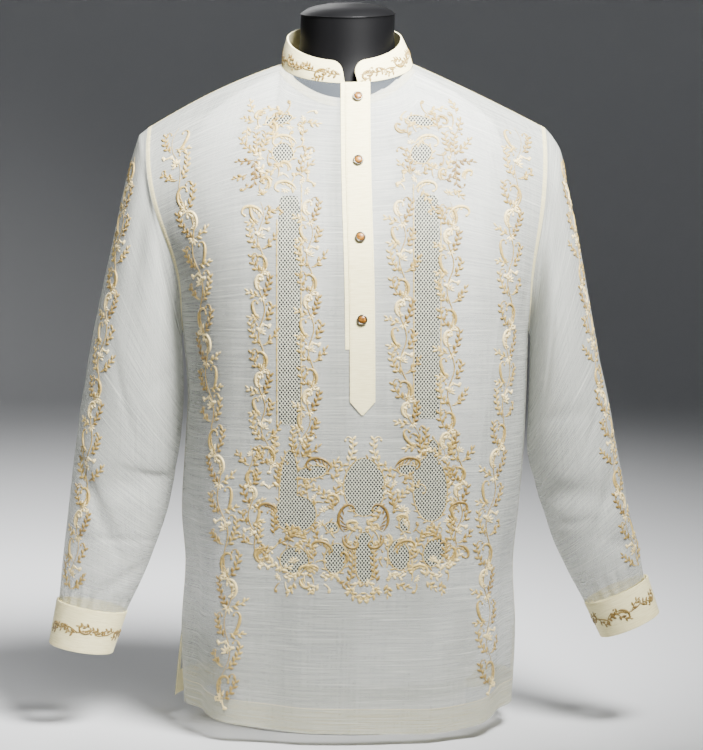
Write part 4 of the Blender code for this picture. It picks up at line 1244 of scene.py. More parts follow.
class BARONG_OT_seams(bpy.types.Operator):
    """Makes the felled seams: round the armholes, on the shoulders and down the sides"""
    bl_idname = "barong.seams"
    bl_label = "Seams"
    ARMHOLE_WIDTH = 0.0056
    SHOULDER_WIDTH = 0.0036
    SIDE_WIDTH = 0.0030

    def strip(self, name, lines, width):
        grid, ways = edge_strip(lines, width)
        dress(add_shell(name, grid, ways, EDGE_THICKNESS, "felled leaf-fibre seam"),
              None)
        MADE["seam lines"].append([Spot(line[-2], way[-2]) for line, way in zip(grid, ways)])

    def execute(self, context):
        MADE["seam lines"] = []
        for side, (grid, ways) in panels().items():
            for hand, order in (("left", 1), ("right", -1)):
                for seam, rows, width in (
                        ("armhole", range(LOW_STEPS, len(grid) - 1), self.ARMHOLE_WIDTH),
                        ("side", range(SLIT_ROW, LOW_STEPS + 1), self.SIDE_WIDTH)):
                    lines = [(grid[r][::order], ways[r][::order]) for r in rows]
                    self.strip("%s_seam_%s_%s" % (seam, hand, side), lines, width)
                columns = range(len(grid[0]))[::order][:NECK_COLUMN + 1]
                lines = [[[line[c] for line in table[:LOW_STEPS:-1]] for table in (grid, ways)]
                         for c in columns]
                self.strip("shoulder_seam_%s_%s" % (hand, side), lines, self.SHOULDER_WIDTH)
        return {"FINISHED"}


# ---------------------------------------------------------------- buttons
BUTTON_RADIUS = 0.0060
BUTTON_HEIGHT = 0.0034
BUTTON_LIFT = 0.00045
BUTTON_SIDES = 40
BUTTON_SHARP = 48            # degrees, as SHARP
BUTTON_HEIGHTS = (0.720, 0.646, 0.558, 0.464)
DOME = [(0.0, 1.0), (0.16, 0.99), (0.32, 0.955), (0.48, 0.89), (0.60, 0.80), (0.68, 0.70),
        (0.72, 0.60), (0.73, 0.46), (0.60, 0.40), (0.0, 0.40)]
RIM = [(0.735, 0.50), (0.745, 0.60), (0.79, 0.68), (0.86, 0.705), (0.93, 0.66), (0.985, 0.55),
       (1.0, 0.42), (0.985, 0.22), (0.93, 0.06), (0.80, 0.0), (0.0, 0.0), (0.0, 0.30),
       (0.70, 0.34)]


def add_rings(name, rings, finish, sharp):
    """A closed shape through rings of points, each as long as the others or a single point."""
    mesh = bmesh.new()
    rings = [[mesh.verts.new(point) for point in ring] for ring in rings]
    for one, two in zip(rings, rings[1:]):
        count = max(len(one), len(two))
        if count == 1:
            continue
        for step in range(count):
            after = (step + 1) % count
            if len(one) == 1:
                mesh.faces.new([one[0], two[step], two[after]])
            elif len(two) == 1:
                mesh.faces.new([one[step], two[0], one[after]])
            else:
                mesh.faces.new([one[step], two[step], two[after], one[after]])
    bmesh.ops.recalc_face_normals(mesh, faces=mesh.faces)
    data = bpy.data.meshes.new(name)
    mesh.to_mesh(data)
    mesh.free()
    data.shade_smooth()
    data.set_sharp_from_angle(angle=math.radians(sharp))
    return link(name, data, finish)


def turned_piece(name, profile, seat, way, finish):
    """A profile (shares of the button's radius and height) turned round the way it faces."""
    turn = Matrix.Translation(seat + way * BUTTON_LIFT) @ way.to_track_quat(
        "Z", "Y").to_matrix().to_4x4()
    angles = [2 * math.pi * step / BUTTON_SIDES for step in range(BUTTON_SIDES)]
    rings = [[turn @ Vector((share * BUTTON_RADIUS * math.cos(angle),
                             share * BUTTON_RADIUS * math.sin(angle), lift * BUTTON_HEIGHT))
              for angle in (angles if share else angles[:1])] for share, lift in profile]
    return add_rings(name, rings, finish, BUTTON_SHARP)


class BARONG_OT_buttons(bpy.types.Operator):
    """Makes the turned buttons on the placket and the cuffs"""
    bl_idname = "barong.buttons"
    bl_label = "Buttons"

    def execute(self, context):
        grid, ways = MADE["placket"]
        middle = len(grid[0]) // 2
        line = [row[middle] for row in grid]
        seats = {}
        for number, height in enumerate(BUTTON_HEIGHTS, 1):
            wanted = height + HEM_HEIGHT
            r = next(r for r in range(len(line) - 1) if line[r].z <= wanted < line[r + 1].z)
            share = (wanted - line[r].z) / (line[r + 1].z - line[r].z)
            seats["button_%d" % number] = (mix(line[r], line[r + 1], share), ways[r][middle])
        for side in ("left", "right"):
            seats["cuff_button_" + side] = MADE["seat_" + side]
        for node, (seat, way) in seats.items():
            for part, profile, finish in (("_dome", DOME, "cast tortoiseshell resin"),
                                          ("_rim", RIM, "blackened brass")):
                dress(turned_piece(node + part, profile, seat, way, finish), node)
        return {"FINISHED"}


# ---------------------------------------------------------------- the dress form
FORM_SIDES = 96
RING_STEPS = 6               # rings for each row of the form's tables
BINDING = 0.0008             # thickness of the cover's bound neck edge
BINDING_SHARES = (0.0, 0.14, 0.28, 0.42)     # of the way from the cover up to the neck's ring
NECK_EDGE_STEP = 0.004       # more than the edge's points are apart


def form_ring(row, power, lift=0.0):
    ring = []
    for step in range(FORM_SIDES):
        angle = 2 * math.pi * step / FORM_SIDES
        forward = -math.sin(angle)
        x = row.middle + row.half * signed_power(math.cos(angle), 2 / power)
        reach = row.reach_front if forward > 0 else row.reach_back
        y = -signed_power(forward, 2 / power) * reach
        level = (row.front + row.back) / 2 - row.side
        z = row.side + (row.front - row.back) / 2 * forward + level * forward ** 2
        ring.append(Vector((x, y, z + HEM_HEIGHT + lift)))
    return ring


def fine_rings(table, power):
    """Rings through the table's rows and smooth ones between them."""
    Numbered = namedtuple("Numbered", ("place",) + FormRow._fields)
    numbered = [Numbered(place, *row) for place, row in enumerate(table)]
    curves = [Curve(numbered, field, "place") for field in FormRow._fields]
    count = (len(table) - 1) * RING_STEPS
    return [form_ring(FormRow(*[curve(step / RING_STEPS) for curve in curves]), power)
            for step in range(count + 1)]


def add_form_part(name, rings, finish):
    ends = [[sum(ring, Vector()) / FORM_SIDES] for ring in (rings[0], rings[-1])]
    return add_rings(name, [ends[0]] + rings + [ends[1]], finish, SHARP)


class BARONG_OT_form(bpy.types.Operator):
    """Makes the dress form: jersey torso, its bound neck edge and lacquered neck; paints the
    plinth
    """
    bl_idname = "barong.form"
    bl_label = "Dress form"

    def execute(self, context):
        dress(add_form_part("form_torso_jersey", fine_rings(TORSO, FORM_POWER),
                            "stretched cotton jersey"), "form_torso")
        foot = form_ring(TORSO[-1], FORM_POWER, lift=SEAM_GAP)
        rings = [foot] + fine_rings(NECK, 2.0)
        dress(add_form_part("form_neck_lacquer", rings, "satin black lacquer"),
              "form_neck")
        grid = [[mix(low, high, share) for low, high in zip(*rings[:2])]
                for share in BINDING_SHARES]
        outward = [[neck_outward(point) for point in line] for line in grid]
        MADE["neck edge"] = [point for point in grid[-1] if point.y < 0]
        dress(add_shell("form_neck_binding", moved(grid, outward, BINDING), outward, BINDING,
                        DOUBLED, wrap=True), None)
        base = frame["nodes"]["form_base"]
        base.data.materials.clear()
        base.data.materials.append(finish_of("eggshell paint on wood"))
        return {"FINISHED"}


# the front's material paints shade where this is more than 0
def over_neck(point):
    """How far a point of the front is above the edge of the form's cover, or -1 beside it."""
    edge = min(MADE["neck edge"], key=lambda other: abs(other.x - point.x))
    return point.z - edge.z if abs(edge.x - point.x) < NECK_EDGE_STEP else -1.0


# ---------------------------------------------------------------- openwork and embroidery
Patch = namedtuple("Patch", "x height half_width half_height tilt point")
# x and height (above the hem) of the patch's middle; tilt in degrees, + leans its top to the
# right; point: 2 is an ellipse, less is more pointed, more is squarer
PATCHES = rows_of(Patch, [
    (-0.0659, 0.4740, 0.0126, 0.1310, 0, 8.0),      # the tall strips
    (0.0920, 0.4780, 0.0143, 0.1280, 0, 8.0),
    (-0.0790, 0.6930, 0.0160, 0.0060, -12, 2.0),    # the small ones above them
    (-0.0740, 0.6540, 0.0130, 0.0125, 20, 1.7),
    (0.0860, 0.6920, 0.0160, 0.0060, 12, 2.0),
    (0.0860, 0.6540, 0.0130, 0.0125, -20, 1.7),
    (-0.0672, 0.2680, 0.0105, 0.0455, 3, 2.2),      # the panel's left one
    (-0.0590, 0.2400, 0.0240, 0.0210, -8, 2.2),
    (-0.0400, 0.2885, 0.0180, 0.0075, -10, 2.0),
    (0.0200, 0.2715, 0.0240, 0.0340, 0, 1.9),       # its middle one
    (0.0960, 0.2680, 0.0200, 0.0380, -4, 2.2),      # its right one
    (0.0985, 0.3100, 0.0075, 0.0160, 3, 2.0),
    (0.0730, 0.2900, 0.0160, 0.0065, 8, 2.0),
    (-0.0170, 0.2250, 0.0080, 0.0060, 20, 2.0),     # and those below them
    (0.0660, 0.2270, 0.0060, 0.0085, -10, 2.0),
    (0.0205, 0.1900, 0.0112, 0.0300, 0, 2.2),
    (-0.0605, 0.1860, 0.0170, 0.0155, -20, 2.0),
    (-0.0130, 0.1890, 0.0130, 0.0180, 12, 2.0),
    (0.0600, 0.1920, 0.0125, 0.0180, -12, 2.0),
    (0.1010, 0.1940, 0.0130, 0.0170, 20, 2.0),
])
STRIPS = 2                   # the tall strips, the first patches
PANEL_PATCHES = 6            # the number of the panel's first patch


def patch_depth(patch, x, height):
    """How far inside a patch a point is, in metres; less than 0 outside it."""
    turn = math.radians(patch.tilt)
    dx, dz = x - patch.x, height - patch.height
    across = abs(dx * math.cos(turn) - dz * math.sin(turn)) / patch.half_width
    up = abs(dx * math.sin(turn) + dz * math.cos(turn)) / patch.half_height
    reach = (across ** patch.point + up ** patch.point) ** (1 / patch.point)
    if reach < 0.1:              # near the middle, where the slope comes to nothing
        return min(patch.half_width, patch.half_height)
    slope = math.hypot(across ** (patch.point - 1) / patch.half_width,
                       up ** (patch.point - 1) / patch.half_height)
    return (1 - reach) * reach ** (patch.point - 1) / slope


def openwork_depth(point):
    return max(patch_depth(patch, point.x, point.z - HEM_HEIGHT) for patch in PATCHES)


# ---------------------------------------------------------------- the ground that thread lies on
Spot = namedtuple("Spot", "point up")


class Ground:
    """A piece's outer face, on which thread is laid."""

    def __init__(self, grid, ways, wrap=False):
        rows, columns = len(grid), len(grid[0])
        points = [point for line in grid for point in line]
        span = columns if wrap else columns - 1
        faces = [(r * columns + c, r * columns + (c + 1) % columns,
                  (r + 1) * columns + (c + 1) % columns, (r + 1) * columns + c)
                 for r in range(rows - 1) for c in range(span)]
        self.tree = BVHTree.FromPolygons(points, faces)
        self.grid, self.ways, self.wrap = grid, ways, wrap
        r, c = rows // 2, columns // 3
        way = self.tree.find_nearest(grid[r][c])[1]
        self.sign = 1 if way.dot(ways[r][c]) > 0 else -1

    def settle(self, point):
        """The nearest spot on the cloth."""
        place, up = self.tree.find_nearest(point)[:2]
        return Spot(place, up * self.sign)

    def before(self, x, height):
        """The spot of the front that is seen at this x and height above the hem."""
        place, up = self.tree.ray_cast(Vector((x, -1.0, height + HEM_HEIGHT)),
                                       Vector((0, 1, 0)))[:2]
        return None if place is None else Spot(place, up * self.sign)

    def at(self, row, column):
        """The spot at a row and column of the grid, which needn't be whole."""
        rows, columns = len(self.grid), len(self.grid[0])
        r = min(max(int(row), 0), rows - 2)
        c = int(math.floor(column)) if self.wrap else min(max(int(column), 0), columns - 2)
        down, over = row - r, column - c

        def blend(table):
            a, b = table[r][c % columns], table[r][(c + 1) % columns]
            d, e = table[r + 1][c % columns], table[r + 1][(c + 1) % columns]
            return mix(mix(a, b, over), mix(d, e, over), down)

        return Spot(blend(self.grid), blend(self.ways).normalized())


class Frame:
    """A small flat plane on the cloth: motifs are drawn on it in complex numbers of metres."""

    def __init__(self, ground, spot, along):
        self.ground, self.origin = ground, spot.point
        self.along = (along - spot.up * along.dot(spot.up)).normalized()
        self.over = spot.up.cross(self.along)

    def spot(self, place):
        flat = self.origin + self.along * place.real + self.over * place.imag
        return self.ground.settle(flat)

    def way(self, heading):
        return self.along * heading.real + self.over * heading.imag


CURVE_STEPS = 12             # between two of the spots that a path is drawn through


def smooth_path(spots, ground, step):
    """Spots an even step apart on a smooth curve through a few spots."""
    points = [spot.point for spot in spots]
    ends = [2 * points[0] - points[1]] + points + [2 * points[-1] - points[-2]]
    dense = []
    for a, b, c, d in zip(ends, ends[1:], ends[2:], ends[3:]):
        for part in range(CURVE_STEPS):
            t = part / CURVE_STEPS
            dense.append(0.5 * (2 * b + (c - a) * t + (2 * a - 5 * b + 4 * c - d) * t ** 2
                                + (3 * b - a - 3 * c + d) * t ** 3))
    dense.append(points[-1])
    total = pace(dense)[-1]
    count = max(1, round(total / step))
    line = walk(dense, dense, [total * part / count for part in range(count + 1)])
    return [ground.settle(point) for point, way in line]


# ---------------------------------------------------------------- threads, leaves and motifs
IVORY, STRAW, TAN, BROWN = 0.04, 0.38, 0.66, 0.92
STEM = 0.00082               # half widths of the stitched lines
BORDER = 0.00075
CRESCENT = 0.00200
LEAF = 0.0070
LEAF_PITCH = 0.0074
LEAF_LEAN = 42               # degrees between a stem and its leaves
BARE = 0.02                  # share of a frond's stem without leaves
CURLS_FROM = 0.024           # length from which a frond curls over
CURL_TURN = 150.0            # degrees
COMB_TEETH = 5
PETALS = 5
STEP = 0.0014                # between the places of a motif's line
PATH_STEP = 0.0020           # between the spots of a stem,
EDGE_STEP = 0.0016           # of a leafy edge
BORDER_STEP = 0.0024         # and of a border
KNOT_PITCH = 0.012           # between a border's knots
STITCH_PITCH, STITCH, STITCH_WIDTH = 0.0032, 0.0021, 0.00055     # of the running stitches
CELL = 0.0024                # side of the squares that remember where thread lies
EASE = 5                     # a line comes to its full width in a fifth of its length
LEAF_LIFT = 0.00008          # of a leaf's middle above the cloth


class Needlework:
    """Collects stitched lines and leaves, which Geometry Nodes turn into raised stitching."""

    def __init__(self, seed, scale=1.0):
        self.scale = scale       # of thread and leaves; motifs' own sizes don't change
        self.lines, self.leaves = [], []
        self.chance = random.Random(seed)
        self.taken = set()

    def line(self, spots, half, tone, taper=(0.5, 0.4)):
        count = len(spots) - 1
        if count < 1:
            return
        start, end = taper
        halves = []
        for place in range(count + 1):
            share = place / count
            ease = min(1.0, start + (1 - start) * share * EASE,
                       end + (1 - end) * (1 - share) * EASE)
            halves.append((half(share) if callable(half) else half) * ease * self.scale)
        self.lines.append((spots, halves, tone))
        for spot in spots:
            self.mark(spot.point)

    def leaf(self, spot, way, length, width, tone):
        jitter = self.chance.uniform(-0.07, 0.07)
        size = (length * self.chance.uniform(0.9, 1.08), width, width * 0.42)
        size = [value * self.scale for value in size]
        self.leaves.append((spot.point + spot.up * LEAF_LIFT, way, spot.up, size,
                            min(max(tone + jitter, 0.0), 1.0)))
        self.mark(spot.point + way * length / 2)
        self.mark(spot.point + way * length)

    def mark(self, point):
        self.taken.add(cell_of(point))

    def is_free(self, point):
        return cell_of(point) not in self.taken


def cell_of(point):
    return round(point.x / CELL), round(point.z / CELL)


def turn_by(degrees):
    return complex(math.cos(math.radians(degrees)), math.sin(math.radians(degrees)))


CURL = 0.38                  # share of a tendril in which it curls up


def tendril(start, heading, length, bend, curl):
    """Places and headings of a line that bends evenly and curls up over its last third."""
    count = max(5, round(length / STEP))
    places, headings = [start], [heading]
    for part in range(count):
        share = (part + 0.5) / count
        late = max(0.0, (share - (1 - CURL)) / CURL)
        heading *= turn_by(bend / count + curl * late * 2 / (CURL * count))
        start += heading * length / count
        places.append(start)
        headings.append(heading)
    return places, headings


def drawn(work, frame, places, half, tone, **settings):
    work.line([frame.spot(place) for place in places], half, tone, **settings)


def end_knot(work, frame, places, headings, length, width, tone):
    """A small round leaf on the curled end of a line."""
    work.leaf(frame.spot(places[-1] - headings[-1] * 0.0012), frame.way(headings[-1]),
              length, width, tone)


def frond(work, frame, start, heading, length, bend, tone):
    """A stem with pairs of pointed leaves, smaller towards its tip; a long one curls over."""
    curl = 0.0 if length < CURLS_FROM * work.scale else math.copysign(CURL_TURN, bend)
    places, headings = tendril(start, heading, length, bend, curl)
    drawn(work, frame, places, STEM, tone)
    count = len(places) - 1
    reach = 0.74 if curl else 0.94
    pairs = max(2, round(length * (reach - BARE) / (LEAF_PITCH * work.scale)))
    for pair in range(pairs):
        share = mix(BARE, reach, (pair + 0.5) / pairs)
        index = min(count, round(share * count))
        size = LEAF * mix(1.0, 0.74, max(0.0, share - 0.3) / 0.7)
        shade = tone + 0.20 * (0.5 - share)
        for side in (-1, 1):
            way = headings[index] * turn_by(side * LEAF_LEAN)
            root = places[index] + work.scale * (headings[index] * LEAF_PITCH * 0.22 * side
                                                 + way * STEM * 0.6)
            work.leaf(frame.spot(root), frame.way(way), size, size * 0.60, shade)
    if curl:
        end_knot(work, frame, places, headings, 0.0036, 0.0032, tone)
    else:
        work.leaf(frame.spot(places[-1]), frame.way(headings[-1]), LEAF * 0.8, LEAF * 0.38,
                  tone - 0.08)


def comb_hook(work, frame, start, heading, radius, sweep, tone):
    """A crescent that hooks over, with a comb of small leaves inside it."""
    length = abs(math.radians(sweep)) * radius
    places, headings = tendril(start, heading, length, sweep * 0.7, sweep * 0.45)
    drawn(work, frame, places,
          lambda share: mix(STEM, CRESCENT, math.sin(math.pi * share) ** 0.7), tone,
          taper=(0.4, 0.8))
    side = 1 if sweep > 0 else -1
    for tooth in range(COMB_TEETH):
        along = tooth / (COMB_TEETH - 1)
        index = round(mix(0.10, 0.62, along) * (len(places) - 1))
        way = headings[index] * turn_by(side * 132)
        size = radius / work.scale * mix(0.72, 0.46, abs(along - 0.35) / 0.65)
        root = places[index] + way * CRESCENT * work.scale
        work.leaf(frame.spot(root), frame.way(way), size, 0.0025, tone + 0.02)
    end_knot(work, frame, places, headings, 0.0042, 0.0038, tone - 0.06)


def scroll(work, frame, start, heading, length, bend, tone, half=STEM * 1.15):
    """A plain line that ends in a curl with a knot."""
    places, headings = tendril(start, heading, length, bend * 0.35, bend)
    drawn(work, frame, places, half, tone)
    end_knot(work, frame, places, headings, half * 5, half * 4.4, tone)


def bow(work, frame, start, heading, length, bend, tone):
    """A line filled out with satin stitch over its middle, ending in a curl."""
    places, headings = tendril(start, heading, length, bend, math.copysign(CURL_TURN, bend))
    drawn(work, frame, places,
          lambda share: mix(STEM, CRESCENT * 1.1, math.sin(math.pi * share) ** 2), tone)
    end_knot(work, frame, places, headings, 0.0040, 0.0036, tone)


def horns(work, frame, start, heading, size, bend, tone):
    """Two short curls that spring apart over a bud."""
    for side in (-1, 1):
        scroll(work, frame, start, heading * turn_by(side * 24), size * 1.9, side * 230, tone,
               half=STEM * 1.35)
    bud = size / work.scale
    work.leaf(frame.spot(start), frame.way(heading), bud * 0.6, bud * 0.28, tone)


def blossom(work, frame, start, heading, size, bend, tone):
    """A half-open flower: petals in a fan over a dark calyx."""
    long = size / work.scale
    for petal in range(PETALS):
        way = heading * turn_by(mix(-78, 78, petal / (PETALS - 1)))
        work.leaf(frame.spot(start + way * size * 0.15), frame.way(way), long, long * 0.42, tone)
    work.leaf(frame.spot(start - heading * size * 0.3), frame.way(heading), long * 0.5,
              long * 0.36, tone + 0.3)


MOTIFS = {"frond": frond, "comb": comb_hook, "scroll": scroll, "bow": bow, "horns": horns,
          "blossom": blossom}

Motif = namedtuple("Motif", "kind along across heading size bend tone")
# A vine's steps in turn, each made of motifs on the cloth. Along (the way the vine grows), across
# and size are shares of the vine's pitch; headings and bends are degrees, + towards its side,
# which changes at each step.
VINE_STEPS = [rows_of(Motif, step) for step in (
    [("frond", 0.00, -0.02, -52, 0.74, 62, TAN),
     ("comb", 0.03, 0.06, 50, 0.190, -205, STRAW + 0.2),
     ("horns", -0.02, 0.00, 150, 0.15, 0, IVORY),
     ("blossom", 0.03, 0.03, 60, 0.13, 0, IVORY)],
    [("frond", 0.00, 0.03, 52, 0.82, -64, STRAW + 0.12),
     ("frond", 0.06, -0.10, -58, 0.44, 26, TAN),
     ("scroll", 0.03, -0.04, -92, 0.36, 240, STRAW + 0.1),
     ("blossom", 0.34, 0.02, -30, 0.13, 0, IVORY)],
    [("bow", 0.02, -0.06, -50, 0.70, 66, STRAW + 0.14),
     ("frond", 0.02, 0.06, 52, 0.66, -66, TAN),
     ("horns", -0.04, 0.02, 165, 0.17, 0, IVORY),
     ("frond", 0.10, -0.04, -100, 0.28, 20, STRAW)],
    [("frond", 0.00, 0.00, -44, 0.86, 58, BROWN - 0.14),
     ("comb", 0.16, 0.06, 62, 0.165, -215, IVORY + 0.06),
     ("blossom", 0.00, 0.00, -150, 0.12, 0, IVORY),
     ("frond", 0.02, 0.06, 84, 0.34, -30, STRAW)],
)]
BAND_WAVE = 0.0336           # one wave of the narrow vine on collar and cuffs; its steps follow
BAND_STEPS = [rows_of(Motif, step) for step in (
    [("frond", 0.00, -0.08, 36, 1.00, -84, TAN),
     ("scroll", 0.04, 0.00, -50, 0.62, 230, TAN)],
    [("comb", 0.02, 0.06, 36, 0.260, -185, TAN),
     ("frond", 0.02, -0.06, -42, 0.58, 34, TAN)],
    [("scroll", 0.00, -0.08, 32, 1.04, -215, TAN),
     ("frond", 0.06, 0.00, -46, 0.64, 44, TAN)],
)]
OVERLAP = 1.62               # each step reaches this much further than to the next one
STEM_BOW = 0.13              # how far the stem swings out between two steps, in steps
SWING = 6                    # places on the stem between two steps


def draw_motif(work, frame, motif, scale=1.0, side=1, tone_shift=0.0):
    MOTIFS[motif.kind](work, frame, complex(motif.along, side * motif.across) * scale,
                       turn_by(side * motif.heading), motif.size * scale, side * motif.bend,
                       motif.tone + tone_shift)


def vine(work, ground, spots, pitch, side=1, steps=VINE_STEPS, first_step=0, tone_shift=0.0,
         bow=STEM_BOW):
    """A waving stem along a path, and motifs that leave it to either side in turn."""
    path = smooth_path(spots, ground, PATH_STEP)
    last = len(path) - 1
    count = max(1, round(last * PATH_STEP / pitch))
    stem = []
    for number in range(count):
        here = path[round(number / count * last)]
        ahead = path[round((number + 1) / count * last)]
        frame_here = Frame(ground, here, ahead.point - here.point)
        gap = (ahead.point - here.point).length
        stem += [frame_here.spot(complex(part / SWING, side * bow
                                         * math.sin(math.pi * part / SWING)) * gap)
                 for part in range(SWING)]
        length = gap * OVERLAP
        for motif in steps[(number + first_step) % len(steps)]:
            draw_motif(work, frame_here, motif, length, side, tone_shift)
        side = -side
    work.line(smooth_path(stem + [path[-1]], ground, PATH_STEP), STEM, TAN + tone_shift)


WREATH_STEPS = 60
WREATH_START, WREATH_TURN = -96, 3.1         # degrees round the patch, and for each step
BESIDE_PATCH = 0.0006        # how far into another patch a wreath may reach
LEAF_CHANCE = 0.8


def wreath(work, ground, patch, tone):
    """Leafy stems up both sides of a patch of openwork, left out inside other patches."""
    turn = math.radians(patch.tilt)
    for side in (-1, 1):
        run = []
        for step in range(WREATH_STEPS + 1):
            angle = math.radians(WREATH_START + WREATH_TURN * step)
            across = side * patch.half_width * signed_power(math.cos(angle), 2 / patch.point)
            up = patch.half_height * signed_power(math.sin(angle), 2 / patch.point)
            x = patch.x + across * math.cos(turn) + up * math.sin(turn)
            height = patch.height - across * math.sin(turn) + up * math.cos(turn)
            outside = all(patch_depth(other, x, height) < BESIDE_PATCH
                          for other in PATCHES if other is not patch)
            if outside:
                run.append(ground.before(x, height))
            if len(run) > 4 and (not outside or step == WREATH_STEPS):
                leafy_edge(work, smooth_path(run, ground, EDGE_STEP), side, tone)
            if not outside:
                run = []


def way_along(path, index):
    return (path[index + 1].point - path[index].point).normalized()


def leafy_edge(work, path, side, tone):
    work.line(path, STEM, tone)
    for index in range(1, len(path) - 1, round(LEAF_PITCH / EDGE_STEP)):
        way = way_along(path, index)
        out = path[index].up.cross(way) * side
        if work.chance.random() < LEAF_CHANCE:
            work.leaf(path[index], (way - out).normalized(), LEAF * 0.88, LEAF * 0.40,
                      tone + 0.1)


def running_stitch(work, spots, tone):
    """Short stitches with gaps between them along a line of spots."""
    points, ups = zip(*spots)
    count = int(pace(points)[-1] / STITCH_PITCH)
    places = walk(points, ups, [STITCH_PITCH * (number + 0.2) for number in range(count)])
    for (point, up), (ahead, after) in zip(places, places[1:]):
        work.leaf(Spot(point, up), (ahead - point).normalized(), STITCH, STITCH_WIDTH, tone)


def stitched_border(work, ground, spots, tone):
    """A straight satin line with a small knot on it now and then."""
    path = smooth_path(spots, ground, BORDER_STEP)
    work.line(path, BORDER, tone, taper=(1.0, 1.0))
    every = round(KNOT_PITCH / BORDER_STEP)
    for index in range(every // 2, len(path) - 1, every):
        work.leaf(path[index], way_along(path, index), 0.0044, 0.0028, tone + 0.12)


# ---------------------------------------------------------------- Geometry Nodes for the thread
def start_tree(name, sizes):
    """A node tree with a geometry input, named number inputs and a material input."""
    tree = bpy.data.node_groups.new(name, "GeometryNodeTree")
    tree.interface.new_socket("Geometry", in_out="INPUT", socket_type="NodeSocketGeometry")
    for size, default in sizes.items():
        kind = "NodeSocketInt" if isinstance(default, int) else "NodeSocketFloat"
        made = tree.interface.new_socket(size, in_out="INPUT", socket_type=kind)
        made.default_value = default
    tree.interface.new_socket("Material", in_out="INPUT", socket_type="NodeSocketMaterial")
    tree.interface.new_socket("Geometry", in_out="OUTPUT", socket_type="NodeSocketGeometry")
    return tree, add_node(tree, "NodeGroupInput")


def end_tree(tree, start, geometry):
    real = add_node(tree, "GeometryNodeRealizeInstances", {"Geometry": geometry})
    dressed = add_node(tree, "GeometryNodeSetMaterial", {
        "Geometry": real.outputs[0], "Material": start.outputs["Material"]})
    add_node(tree, "NodeGroupOutput", {"Geometry": dressed.outputs[0]})
    return tree


def stored(tree, name, kind="FLOAT_VECTOR"):
    return add_node(tree, "GeometryNodeInputNamedAttribute", {"Name": name},
                    data_type=kind).outputs["Attribute"]


def leaf_tree():
    """A padded satin-stitched leaf on each point, along its way and facing its up."""
    tree, start = start_tree("satin leaves", {"Segments": 6, "Rings": 4})
    ball = add_node(tree, "GeometryNodeMeshUVSphere", {
        "Segments": start.outputs["Segments"], "Rings": start.outputs["Rings"],
        "Radius": 0.5})
    laid = add_node(tree, "GeometryNodeTransform", {
        "Geometry": ball.outputs["Mesh"], "Translation": (0.5, 0, 0),
        "Rotation": (0, QUARTER_TURN, 0)})
    place = add_node(tree, "ShaderNodeSeparateXYZ", {
        "Vector": add_node(tree, "GeometryNodeInputPosition").outputs[0]})
    taper = add_node(tree, "ShaderNodeMapRange", {
        "Value": place.outputs["X"], "To Min": 1.16, "To Max": 0.70})
    shape = add_node(tree, "ShaderNodeCombineXYZ", {
        "X": place.outputs["X"],
        "Y": combine(tree, "MULTIPLY", place.outputs["Y"], taper.outputs["Result"]),
        "Z": combine(tree, "MULTIPLY", place.outputs["Z"], taper.outputs["Result"])})
    pointed = add_node(tree, "GeometryNodeSetPosition", {
        "Geometry": laid.outputs[0], "Position": shape.outputs[0]})
    soft = add_node(tree, "GeometryNodeSetShadeSmooth", {"Geometry": pointed.outputs[0]})
    turn = add_node(tree, "FunctionNodeAxesToRotation", {
        "Primary Axis": stored(tree, "up"), "Secondary Axis": stored(tree, "way")})
    leaves = add_node(tree, "GeometryNodeInstanceOnPoints", {
        "Points": start.outputs["Geometry"], "Instance": soft.outputs[0],
        "Rotation": turn.outputs[0], "Scale": stored(tree, "size")})
    return end_tree(tree, start, leaves.outputs[0])


def cord_tree():
    """A flattened cord along each chain of edges, as wide as its points' half widths say."""
    tree, start = start_tree("satin cords", {"Sides": 6, "Flatness": 0.55})
    path = add_node(tree, "GeometryNodeMeshToCurve", {"Mesh": start.outputs["Geometry"]})
    level = add_node(tree, "GeometryNodeSetCurveNormal", {
        "Curve": path.outputs[0], "Normal": stored(tree, "up")}, mode="FREE")
    ring = add_node(tree, "GeometryNodeCurvePrimitiveCircle", {
        "Resolution": start.outputs["Sides"], "Radius": 1.0})
    flatness = add_node(tree, "ShaderNodeCombineXYZ", {
        "X": start.outputs["Flatness"], "Y": 1.0, "Z": 1.0})
    flat = add_node(tree, "GeometryNodeTransform", {
        "Geometry": ring.outputs[0], "Scale": flatness.outputs[0]})
    cord = add_node(tree, "GeometryNodeCurveToMesh", {
        "Curve": level.outputs[0], "Profile Curve": flat.outputs[0],
        "Scale": stored(tree, "half", "FLOAT"), "Fill Caps": True})
    soft = add_node(tree, "GeometryNodeSetShadeSmooth", {"Geometry": cord.outputs[0]})
    return end_tree(tree, start, soft.outputs[0])


def run_tree(name, mesh, tree, finish, **counts):
    """The plain mesh that a tree makes of a mesh, as a finished object."""
    carrier = bpy.data.objects.new(name, mesh)
    bpy.context.scene.collection.objects.link(carrier)
    step = carrier.modifiers.new("stitching", "NODES")
    step.node_group = tree
    values = dict(counts, Material=finish_of(finish))
    for item in tree.interface.items_tree:
        if item.item_type == "SOCKET" and item.name in values:
            step[item.identifier] = values[item.name]
    depsgraph = bpy.context.evaluated_depsgraph_get()
    made = bpy.data.meshes.new_from_object(carrier.evaluated_get(depsgraph))
    carrier.modifiers.clear()
    carrier.data = made
    made.name = name
    if not made.polygons:
        raise RuntimeError(name + " has no faces")
    return carrier


def store(mesh, name, values):
    """Gives a mesh's points numbers or vectors under a name."""
    if isinstance(values[0], (int, float)):
        mesh.attributes.new(name, "FLOAT", "POINT").data.foreach_set("value", values)
    else:
        mesh.attributes.new(name, "FLOAT_VECTOR", "POINT").data.foreach_set(
            "vector", [value for vector in values for value in vector])


